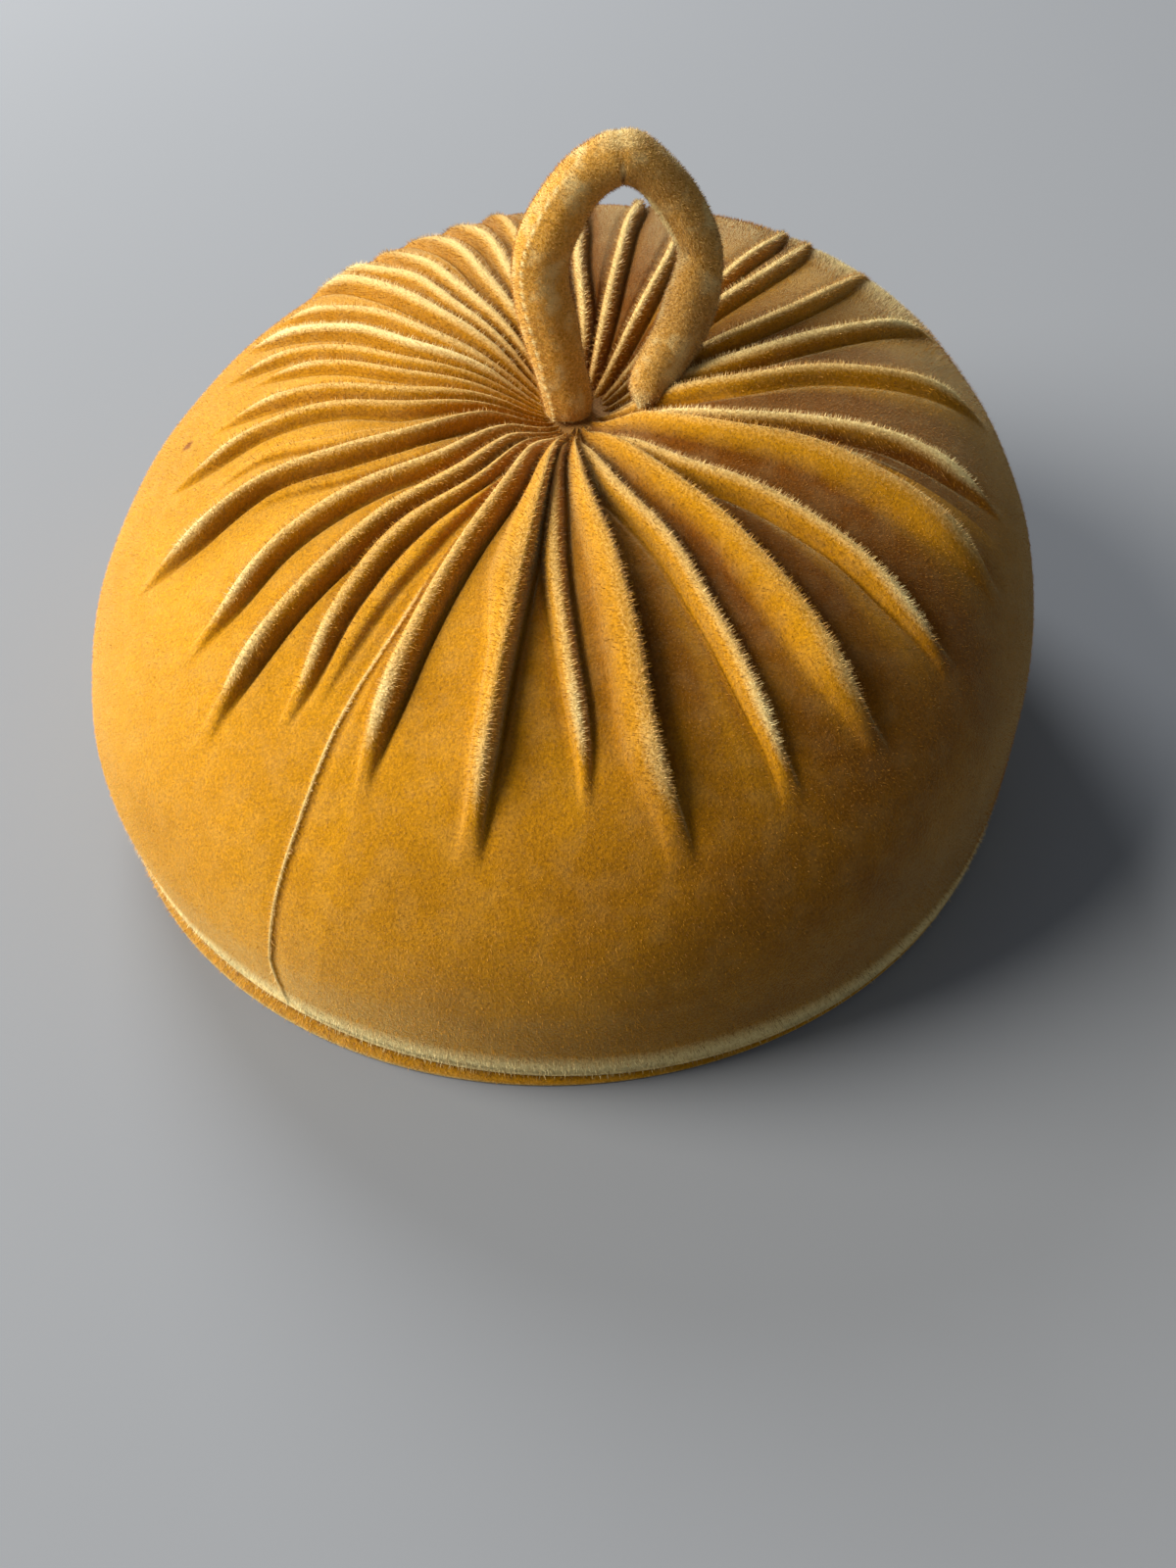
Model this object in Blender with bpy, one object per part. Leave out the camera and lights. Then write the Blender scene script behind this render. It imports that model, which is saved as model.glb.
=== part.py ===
"""A velvet turban hat: a bun-shaped crown gathered to one point on top, the band that shows
under its edge and round the head opening, and a loop stem standing on the gather.

Metres, +Z up. The origin is on the surface that the band rests on, under the middle of the
hat. +Y is the long way of the head. Azimuths are in degrees from +X towards +Y, and a
"radius" on the dome is measured out from the gather, 0 there and BELLY_RADIUS at the belly.
"""

from collections import namedtuple
from math import cos, degrees, exp, radians, sin

import bpy
from mathutils import Vector

MM = 0.001
GAP = 0.0003

# Smooth form of the crown
BELLY_RADIUS = 0.130
OVAL = 0.05
BELLY_Z = 0.028
DOME_HEIGHT = 0.074
DOME_POWER = 2.5
DIMPLE_DEPTH = 0.016
DIMPLE_RADIUS = 0.026
TOP_SHIFT = Vector((0.008, 0.0055, 0.0))
TOP_SLOPE_X = 0.075
TOP_SLOPE_Y = 0.12
CROWN_WALL = 0.003
EDGE_PULL_IN = 0.002

# Height of the crown's lower edge above the resting surface: it lifts on one side
EDGE_LOW = 0.0032
EDGE_HIGH = 0.0115
EDGE_HIGH_AZIMUTH = 215
EDGE_LIFT_POWER = 3

# Gathers: a fold is a ridge with a left and a right flank, and beyond the groove at its right
# foot the cloth is a panel that puffs up on the way to the next fold
GATHER_RADIUS = 0.006
RIDGE_HALF_WIDTH = 0.0032
RIDGE_MOST_OF_SPAN = 0.24
LEFT_FLANK_SHARE = 0.55
RIGHT_FLANK_SHARE = 0.45
SWELL_AT_GROOVE = 0.7
SWELL_AT_FLANK = 0.35
LEFT_GROOVE_SHARE = 0.2
GROOVE_DEPTH = 0.0011
FOLD_FADE = 0.026
FOLD_GROWN_AT = 0.040
FOLD_START_SHARE = 0.3
PANEL_PUFF = 0.0012
SWELL_AT_PUFF = 0.5
COLUMNS_EVEN_FROM = 0.100
COLUMNS_EVEN_OVER = 0.025
OUTER_RADII = (6, 11, 17, 25, 34, 45, 57, 69, 81, 92, 102, 111, 119, 125, 128.6, 130)
INNER_RADII = (8, 30, 55, 80, 102, 117, 126.5)
COLUMNS_PER_FOLD = 6
INNER_COLUMNS_PER_FOLD = 2
WALL_SHARES = (0.5, 1.0)
NORMAL_STEP = 0.0002
NORMAL_TURN = 0.5

# Band
BAND_INSET = 0.0028
BAND_LEG = 0.0025
BAND_FLAT = 0.0025
BAND_ROUND = 0.0014
BAND_LEAN = 0.0004
BAND_BULGE = (0.3, 0.75)
OPENING_HALF_X = 0.078
OPENING_HALF_Y = 0.100
COLLAR_TOP = 0.030
COLLAR_WALL = 0.0025
BAND_COLUMNS = 60

STEM_SIDES_RESOLUTION = 4
STEM_STEPS = 3

VELVET = (0.66, 0.31, 0.035, 1.0)
VELVET_BAND = (0.58, 0.27, 0.032, 1.0)
VELVET_ROUGHNESS = 0.85

# One row a fold, in order of azimuth. The azimuth columns follow the crest outwards, in
# degrees at 20, 40, 60, 80 and 100 mm from the gather. The fold dies out at end (mm), stands
# ridge (mm) high, and the panel before it swells by swell (mm) where cloth is pushed up to it.
FOLD_AZIMUTH_RADII = (20, 40, 60, 80, 100)
Fold = namedtuple("Fold", "at_20 at_40 at_60 at_80 at_100 end ridge swell")
FOLDS = (
    Fold(70, 74, 76, 77, 78, 112, 3.6, 0.0),
    Fold(82, 86, 87, 88, 88, 112, 3.4, 0.0),
    Fold(92, 94, 95, 95, 95, 112, 3.2, 0.0),
    Fold(100, 102, 102, 101, 101, 112, 3.2, 0.0),
    Fold(108, 109, 107, 107, 107, 112, 3.2, 0.0),
    Fold(116, 116, 114, 113, 113, 112, 3.2, 0.0),
    Fold(125, 125, 122, 120, 118, 112, 3.6, 0.0),
    Fold(132, 131, 127, 126, 125, 110, 2.8, 0.0),
    Fold(140, 138, 134, 131, 130, 108, 3.2, 0.0),
    Fold(150, 148, 143, 141, 141, 104, 2.6, 0.5),
    Fold(158, 157, 151, 148, 148, 106, 3.0, 0.0),
    Fold(164, 164, 158, 155, 157, 104, 2.6, 0.0),
    Fold(171, 170, 163, 160, 162, 92, 2.2, 0.0),
    Fold(180, 180, 172, 168, 169, 96, 2.6, 0.5),
    Fold(187, 187, 179, 176, 178, 108, 2.8, 0.0),
    Fold(196, 199, 195, 192, 193, 113, 3.6, 1.5),
    Fold(211, 215, 210, 209, 213, 107, 3.4, 1.0),
    Fold(223, 225, 221, 221, 221, 114, 3.8, 0.5),
    Fold(233, 234, 228, 229, 233, 106, 2.8, 0.0),
    Fold(241, 243, 242, 243, 245, 109, 4.2, 0.5),
    Fold(257, 260, 260, 259, 260, 117, 4.4, 3.0),
    Fold(263, 264, 266, 268, 270, 108, 3.6, 0.0),
    Fold(272, 274, 277, 279, 279, 118, 4.4, 3.0),
    Fold(278, 283, 289, 291, 292, 116, 4.2, 0.0),
    Fold(292, 297, 302, 303, 304, 116, 4.2, 3.0),
    Fold(301, 306, 313, 316, 317, 114, 4.2, 0.0),
    Fold(320, 323, 329, 332, 333, 115, 3.6, 2.5),
    Fold(329, 332, 338, 343, 345, 111, 4.0, 0.0),
    Fold(347, 350, 356, 360, 362, 109, 3.2, 1.0),
    Fold(359, 363, 369, 374, 380, 107, 3.6, 0.0),
    Fold(370, 374, 381, 388, 396, 108, 3.6, 0.5),
    Fold(386, 391, 397, 403, 409, 110, 3.6, 0.5),
    Fold(396, 400, 406, 410, 414, 110, 3.6, 0.0),
    Fold(414, 419, 424, 427, 428, 110, 3.6, 1.0),
)

# Sections of the stem along its middle line, in mm: where the middle is and how thick it is
StemRow = namedtuple("StemRow", "x y z thick")
STEM_FOOT_THICK = 8.0
STEM = (
    StemRow(5.7, 5.4, 92.5, 12.2),
    StemRow(4.5, 6.2, 99.0, 12.5),
    StemRow(2.6, 7.6, 108.7, 13.1),
    StemRow(0.7, 9.0, 118.3, 13.2),
    StemRow(0.7, 10.0, 125.5, 13.0),
    StemRow(2.7, 10.9, 132.0, 12.5),
    StemRow(8.5, 12.2, 141.0, 12.0),
    StemRow(14.3, 12.9, 146.3, 11.6),
    StemRow(20.8, 13.2, 148.6, 11.2),
    StemRow(26.7, 12.8, 145.8, 10.7),
    StemRow(31.9, 12.1, 140.3, 10.3),
    StemRow(36.3, 11.0, 132.4, 10.0),
    StemRow(38.3, 10.0, 125.5, 9.8),
    StemRow(37.0, 8.5, 117.0, 10.6),
    StemRow(33.6, 6.4, 108.2, 11.0),
    StemRow(29.5, 2.8, 103.4, 9.6),
    StemRow(26.2, -1.6, 99.8, 7.0),
    StemRow(24.4, -4.4, 97.6, 4.4),
)


def clear_scene():
    for obj in list(bpy.data.objects):
        bpy.data.objects.remove(obj, do_unlink=True)


def velvet(name, colour):
    """A cloth material in one plain colour."""
    material = bpy.data.materials.new(name)
    material.use_nodes = True
    shader = material.node_tree.nodes["Principled BSDF"]
    shader.inputs["Base Color"].default_value = colour
    shader.inputs["Roughness"].default_value = VELVET_ROUGHNESS
    shader.inputs["Metallic"].default_value = 0.0
    material.diffuse_color = colour
    return material


def interpolate(x, places, values):
    """The value at x on the line through (place, value) pairs, held level past both ends."""
    if x <= places[0]:
        return values[0]
    for left, right, low, high in zip(places, places[1:], values, values[1:]):
        if x <= right:
            return low + (high - low) * (x - left) / (right - left)
    return values[-1]


def smooth(share):
    """0 below 0 and 1 above 1, with an S-curve between."""
    share = min(1.0, max(0.0, share))
    return share * share * (3 - 2 * share)


def plan_radius(azimuth):
    """Half width of the belly this way: the plan is an oval with its long way along Y."""
    return BELLY_RADIUS * (1 - OVAL * cos(radians(2 * azimuth)))


def dome_point(azimuth, radius, inset=0.0):
    """The smooth dome at this azimuth and radius, or the same form inset all round."""
    share = min(1.0, radius / (BELLY_RADIUS - inset))
    rise = (1 - share**DOME_POWER) ** (1 / DOME_POWER)
    out = (plan_radius(azimuth) - inset) * share
    x = out * cos(radians(azimuth))
    y = out * sin(radians(azimuth))
    slope = TOP_SLOPE_X * x + TOP_SLOPE_Y * y
    dimple = DIMPLE_DEPTH * exp(-((radius / DIMPLE_RADIUS) ** 2))
    z = BELLY_Z + (DOME_HEIGHT - inset + slope) * rise - dimple
    return Vector((x, y, z)) + TOP_SHIFT * rise


def dome_normal(azimuth, radius):
    """Outward direction of the smooth dome, from two short steps along it."""
    inner = min(radius, BELLY_RADIUS - 2 * NORMAL_STEP)
    out = dome_point(azimuth, inner + NORMAL_STEP) - dome_point(azimuth, inner - NORMAL_STEP)
    ahead = dome_point(azimuth + NORMAL_TURN, inner)
    behind = dome_point(azimuth - NORMAL_TURN, inner)
    return out.cross(ahead - behind).normalized()


def edge_height(azimuth):
    """Height of the crown's lower edge, highest at EDGE_HIGH_AZIMUTH."""
    turn = 0.5 + 0.5 * cos(radians(azimuth - EDGE_HIGH_AZIMUTH))
    return EDGE_LOW + (EDGE_HIGH - EDGE_LOW) * turn**EDGE_LIFT_POWER


def wall_point(azimuth, share, inset=0.0):
    """The upright wall under the belly: share 0 at the belly and 1 at the lower edge."""
    out = plan_radius(azimuth) - inset - EDGE_PULL_IN * share**2
    z = BELLY_Z + (edge_height(azimuth) - BELLY_Z) * share
    return Vector((out * cos(radians(azimuth)), out * sin(radians(azimuth)), z))


def crest_azimuth(fold, radius):
    return interpolate(radius / MM, FOLD_AZIMUTH_RADII, fold[:5])


def fold_strength(fold, radius):
    """How much of its full height a fold has: small at the gather, none past its end."""
    growth = smooth((radius - GATHER_RADIUS) / (FOLD_GROWN_AT - GATHER_RADIUS))
    fade = smooth((fold.end * MM - radius) / FOLD_FADE)
    return (FOLD_START_SHARE + (1 - FOLD_START_SHARE) * growth) * fade


def fold_columns(index, radius):
    """(azimuth, height) of the columns from one crest up to the next, at this radius."""
    fold = FOLDS[index]
    after = FOLDS[(index + 1) % len(FOLDS)]
    wrap = 360 if index + 1 == len(FOLDS) else 0
    crest = crest_azimuth(fold, radius)
    next_crest = crest_azimuth(after, radius) + wrap
    span = next_crest - crest
    even = span / COLUMNS_PER_FOLD
    ridge = min(degrees(RIDGE_HALF_WIDTH / radius), RIDGE_MOST_OF_SPAN * span)
    near_belly = smooth((radius - COLUMNS_EVEN_FROM) / COLUMNS_EVEN_OVER)
    ridge += (2 * even - ridge) * near_belly
    strength = fold_strength(fold, radius)
    after_strength = fold_strength(after, radius)
    height = fold.ridge * MM * strength
    after_height = after.ridge * MM * after_strength
    room = min(1.0, radians(span) * radius / (4 * RIDGE_HALF_WIDTH))
    groove = -GROOVE_DEPTH * strength * room
    swell = after.swell * MM * after_strength * room
    puff = PANEL_PUFF * strength * room + SWELL_AT_PUFF * swell
    left_groove = SWELL_AT_GROOVE * swell + LEFT_GROOVE_SHARE * groove
    left_flank = LEFT_FLANK_SHARE * after_height + SWELL_AT_FLANK * swell
    return (
        (crest, height),
        (crest + ridge / 2, RIGHT_FLANK_SHARE * height),
        (crest + ridge, groove),
        (crest + span / 2, puff),
        (next_crest - ridge, left_groove),
        (next_crest - ridge / 2, left_flank),
    )


def outer_ring(radius):
    """One ring of the pleated outside, all round the dome."""
    ring = []
    for index in range(len(FOLDS)):
        for azimuth, height in fold_columns(index, radius):
            ring.append(dome_point(azimuth, radius) + dome_normal(azimuth, radius) * height)
    return ring


def outer_azimuths(radius):
    azimuths = []
    for index in range(len(FOLDS)):
        azimuths += [azimuth for azimuth, height in fold_columns(index, radius)]
    return azimuths


def stitch(faces, outer, inner):
    """Joins a ring of points to one with a whole number of times fewer, turned the same way."""
    times = len(outer) // len(inner)
    for place, inner_point in enumerate(inner):
        next_inner = inner[(place + 1) % len(inner)]
        for step in range(times):
            start = outer[(place * times + step) % len(outer)]
            end = outer[(place * times + step + 1) % len(outer)]
            faces.append((start, inner_point, end))
        faces.append((outer[(place + 1) * times % len(outer)], inner_point, next_inner))


def add_ring(points, ring):
    start = len(points)
    points.extend(ring)
    return list(range(start, start + len(ring)))


def add_tip(points, faces, ring, turn):
    """Closes a ring with a fan to its middle point. turn 1 faces up where azimuths rise."""
    middle = sum((points[index] for index in ring), Vector()) / len(ring)
    points.append(middle)
    tip = len(points) - 1
    for start, end in zip(ring, ring[1:] + ring[:1]):
        faces.append((tip, start, end) if turn > 0 else (tip, end, start))


def add_strip(faces, upper, lower):
    """Quads between two rings of the same count, facing out where lower lies outside upper."""
    for place, start in enumerate(upper):
        end = (place + 1) % len(upper)
        faces.append((start, lower[place], lower[end], upper[end]))


def mesh_object(name, points, faces, material):
    mesh = bpy.data.meshes.new(name)
    mesh.from_pydata([tuple(point) for point in points], [], faces)
    mesh.materials.append(material)
    mesh.shade_smooth()
    obj = bpy.data.objects.new(name, mesh)
    bpy.context.scene.collection.objects.link(obj)
    return obj


def build_crown(material):
    """A hollow shell: pleated outside, smooth inside, open below."""
    points = []
    faces = []
    azimuths = outer_azimuths(BELLY_RADIUS)
    rings = [add_ring(points, outer_ring(radius * MM)) for radius in OUTER_RADII]
    for share in WALL_SHARES:
        rings.append(add_ring(points, [wall_point(turn, share) for turn in azimuths]))
    add_tip(points, faces, rings[0], 1)
    for upper, lower in zip(rings, rings[1:]):
        add_strip(faces, upper, lower)

    every = COLUMNS_PER_FOLD // INNER_COLUMNS_PER_FOLD
    inner_azimuths = azimuths[::every]
    inner_edge = [wall_point(turn, 1.0, CROWN_WALL) for turn in inner_azimuths]
    inside = [add_ring(points, inner_edge)]
    inner_belly = [wall_point(turn, 0.0, CROWN_WALL) for turn in inner_azimuths]
    inside.append(add_ring(points, inner_belly))
    for radius in reversed(INNER_RADII):
        ring = [dome_point(turn, radius * MM, CROWN_WALL) for turn in inner_azimuths]
        inside.append(add_ring(points, ring))
    stitch(faces, rings[-1], inside[0])
    for lower, upper in zip(inside, inside[1:]):
        add_strip(faces, lower, upper)
    add_tip(points, faces, inside[-1], -1)
    return mesh_object("crown", points, faces, material)


def band_section(azimuth):
    """The band's section here as (out, up) points, from the bottom outer corner round."""
    outside = plan_radius(azimuth) - BAND_INSET
    top = edge_height(azimuth) - GAP
    turn = radians(azimuth)
    opening = ((cos(turn) / OPENING_HALF_X) ** 2 + (sin(turn) / OPENING_HALF_Y) ** 2) ** -0.5
    collar_foot = opening + COLLAR_WALL
    return (
        (outside - BAND_ROUND, 0.0),
        (outside, BAND_BULGE[0] * top),
        (outside, BAND_BULGE[1] * top),
        (outside - BAND_LEAN, top),
        (outside - BAND_LEG, top),
        (outside - BAND_LEG - BAND_LEAN, BAND_FLAT),
        (collar_foot + BAND_ROUND, BAND_FLAT),
        (collar_foot, BAND_FLAT + BAND_ROUND),
        (collar_foot, COLLAR_TOP),
        (opening, COLLAR_TOP),
        (opening, BAND_ROUND),
        (opening + BAND_ROUND, 0.0),
    )


def build_under_band(material):
    """The band: it shows under the crown's edge, lies flat below and turns up at the head."""
    azimuths = [360 * step / BAND_COLUMNS for step in range(BAND_COLUMNS)]
    points = []
    faces = []
    rings = []
    for place in range(len(band_section(0))):
        ring = []
        for azimuth in azimuths:
            out, up = band_section(azimuth)[place]
            ring.append(Vector((out * cos(radians(azimuth)), out * sin(radians(azimuth)), up)))
        rings.append(add_ring(points, ring))
    for lower, upper in zip(rings, rings[1:] + rings[:1]):
        add_strip(faces, upper, lower)
    return mesh_object("under_band", points, faces, material)


def smooth_line(rows, steps):
    """Rows read along a Catmull-Rom curve through them, steps to each stretch."""
    ends = [rows[0]] + list(rows) + [rows[-1]]
    line = []
    for before, start, end, after in zip(ends, ends[1:], ends[2:], ends[3:]):
        for step in range(steps):
            t = step / steps
            row = []
            for a, b, c, d in zip(before, start, end, after):
                bend = 2 * a - 5 * b + 4 * c - d
                twist = 3 * b - a - 3 * c + d
                row.append(b + 0.5 * t * (c - a + t * (bend + t * twist)))
            line.append(StemRow(*row))
    line.append(StemRow(*rows[-1]))
    return line


def build_stem_loop(material):
    """One stuffed tube of cloth: its foot on the gather, its tip laid down beside it."""
    seat = max(point.z for point in outer_ring(GATHER_RADIUS)) + GAP
    foot = StemRow(STEM[0].x, STEM[0].y, seat / MM, STEM_FOOT_THICK)
    line = smooth_line((foot,) + STEM, STEM_STEPS)
    curve = bpy.data.curves.new("stem_loop", "CURVE")
    curve.dimensions = "3D"
    curve.bevel_depth = 0.5 * MM
    curve.bevel_resolution = STEM_SIDES_RESOLUTION
    curve.use_fill_caps = True
    spline = curve.splines.new("POLY")
    spline.points.add(len(line) - 1)
    for point, row in zip(spline.points, line):
        point.co = (row.x * MM, row.y * MM, row.z * MM, 1.0)
        point.radius = row.thick
    spline.use_smooth = True
    curve.materials.append(material)
    obj = bpy.data.objects.new("stem_loop", curve)
    bpy.context.scene.collection.objects.link(obj)
    return obj


def build_hat():
    clear_scene()
    gold = velvet("gold_velvet", VELVET)
    shaded = velvet("gold_velvet_band", VELVET_BAND)
    build_crown(gold)
    build_under_band(shaded)
    build_stem_loop(gold)


build_hat()
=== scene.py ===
"""A golden velvet turban hat: crown gathered to one point, band under its edge, loop stem.

Metres, +Z up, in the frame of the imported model. Azimuths are in degrees from +X towards +Y,
and a radius on the dome is measured out from the gather in the middle of the top.
"""

from collections import namedtuple
from functools import reduce
from math import ceil, cos, pi, radians, sin

import bpy
import numpy as np
from bpy.props import FloatProperty, FloatVectorProperty, IntProperty, PointerProperty
from mathutils import Matrix, Vector


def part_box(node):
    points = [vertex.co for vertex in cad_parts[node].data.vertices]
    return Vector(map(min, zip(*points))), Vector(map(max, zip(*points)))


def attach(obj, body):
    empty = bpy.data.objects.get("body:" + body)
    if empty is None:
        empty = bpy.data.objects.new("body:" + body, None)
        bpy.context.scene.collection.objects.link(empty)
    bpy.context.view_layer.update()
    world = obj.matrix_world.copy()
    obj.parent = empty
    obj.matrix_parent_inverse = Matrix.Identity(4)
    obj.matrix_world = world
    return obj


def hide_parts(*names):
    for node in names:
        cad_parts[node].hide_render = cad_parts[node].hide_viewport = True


bl_info = {
    "name": "Velvet Turban Hat",
    "version": (1, 0, 0),
    "blender": (4, 5, 0),
    "location": "3D View > Sidebar > Hat",
    "description": "Builds the finished surfaces of a gathered velvet turban hat",
    "category": "Object",
}

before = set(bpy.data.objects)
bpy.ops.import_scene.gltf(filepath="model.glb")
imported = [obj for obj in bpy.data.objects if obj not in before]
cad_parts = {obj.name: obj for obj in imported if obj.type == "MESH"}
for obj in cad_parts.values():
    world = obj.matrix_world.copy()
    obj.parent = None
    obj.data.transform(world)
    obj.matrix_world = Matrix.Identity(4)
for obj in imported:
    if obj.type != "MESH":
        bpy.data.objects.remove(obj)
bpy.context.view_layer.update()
CROWN_LOW, CROWN_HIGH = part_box("crown")
STEM_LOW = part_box("stem_loop")[0]

MM = 0.001
GAP = 0.0003

# Smooth form of the crown: the belly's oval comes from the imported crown's box
BELLY_HALF_X = -CROWN_LOW.x
BELLY_HALF_Y = CROWN_HIGH.y
BELLY_RADIUS = (BELLY_HALF_X + BELLY_HALF_Y) / 2
OVAL = (BELLY_HALF_Y - BELLY_HALF_X) / (BELLY_HALF_Y + BELLY_HALF_X)
BELLY_Z = 0.028
DOME_POWER = 2.5
DIMPLE_RADIUS = 0.026
TOP_SHIFT = (0.008, 0.0055)
TOP_SLOPE = (0.075, 0.12)
CROWN_WALL = 0.003
EDGE_PULL_IN = 0.002
EDGE_LOW = 0.0015
EDGE_HIGH = 0.0115
EDGE_RISES_FROM = 305
EDGE_HIGH_FROM = 200
EDGE_HIGH_TO = 175
EDGE_FALLS_TO = 90

# Hem: its round, how far up and how much painted sheen makes its pile pale, and its share of loose
# fibres
HEM_ROUND = 0.0016
HEM_BULGE = 0.0005
HEM_PALE_ABOVE = 0.012
HEM_PALE = 1.15
HEM_PALE_FADE = 1.1
HEM_EDGE_PALE = 0.9
HEM_LOOSE = 0.35

# Rows of the crown's mesh, from the gather out and down
GATHER_RADIUS = 0.0022
DOME_ROWS = 112
WALL_ROWS = 12
HEM_ROWS = 9
INSIDE_WALL_ROWS = 2
INSIDE_DOME_ROWS = 7
INSIDE_ROOF_SHARE = 0.6
GATHER_SUNK = 0.001
RIPPLE_FROM = 0.03
RIPPLE_OVER = 0.04

# Cross-section of a fold: a rope with a round top and, past each foot, a groove
FLANK_SHARES = (0.3, 0.58, 0.8, 0.95)
GROOVE_SHARES = (0.16, 0.36)
GROOVE_STEPS = (0.0005, 0.0019)
GROOVE_PLACE = 0.0005
GROOVE_WIDTH = 0.0009
GROOVE_ROOM = 0.0026
PANEL_STEP_DEGREES = 3.0
RIDGE_MOST_OF_GAP = 0.42
RIDGE_STEEPEST = 0.8
GATHER_STEP_DEGREES = 9.0
LEFT_FLANK_FROM = 0.060
LEFT_FLANK_TO = 0.085
# How narrow the painted sheen and wear along a crest is, and how much paler it grows near the fold's
# end
CREST_SHEEN_NARROW = 2.3
TIP_BEFORE_END = 0.012
TIP_REACH = 0.009
TIP_PALER = 0.9
SEAM_END = 500
SWELL_FROM = 0.3
SWELL_LEAN = 0.6
PANEL_PUFF = 0.0007
FOLD_GROWN_AT = 0.030
FOLD_START_SHARE = 0.5
START_FADE = 0.016
END_FADE = 0.022
FAR_END_FADE = 0.046
FAR_FROM = 18
FAR_TO = 122
EVEN_FROM = 0.104
EVEN_OVER = 0.022
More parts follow.
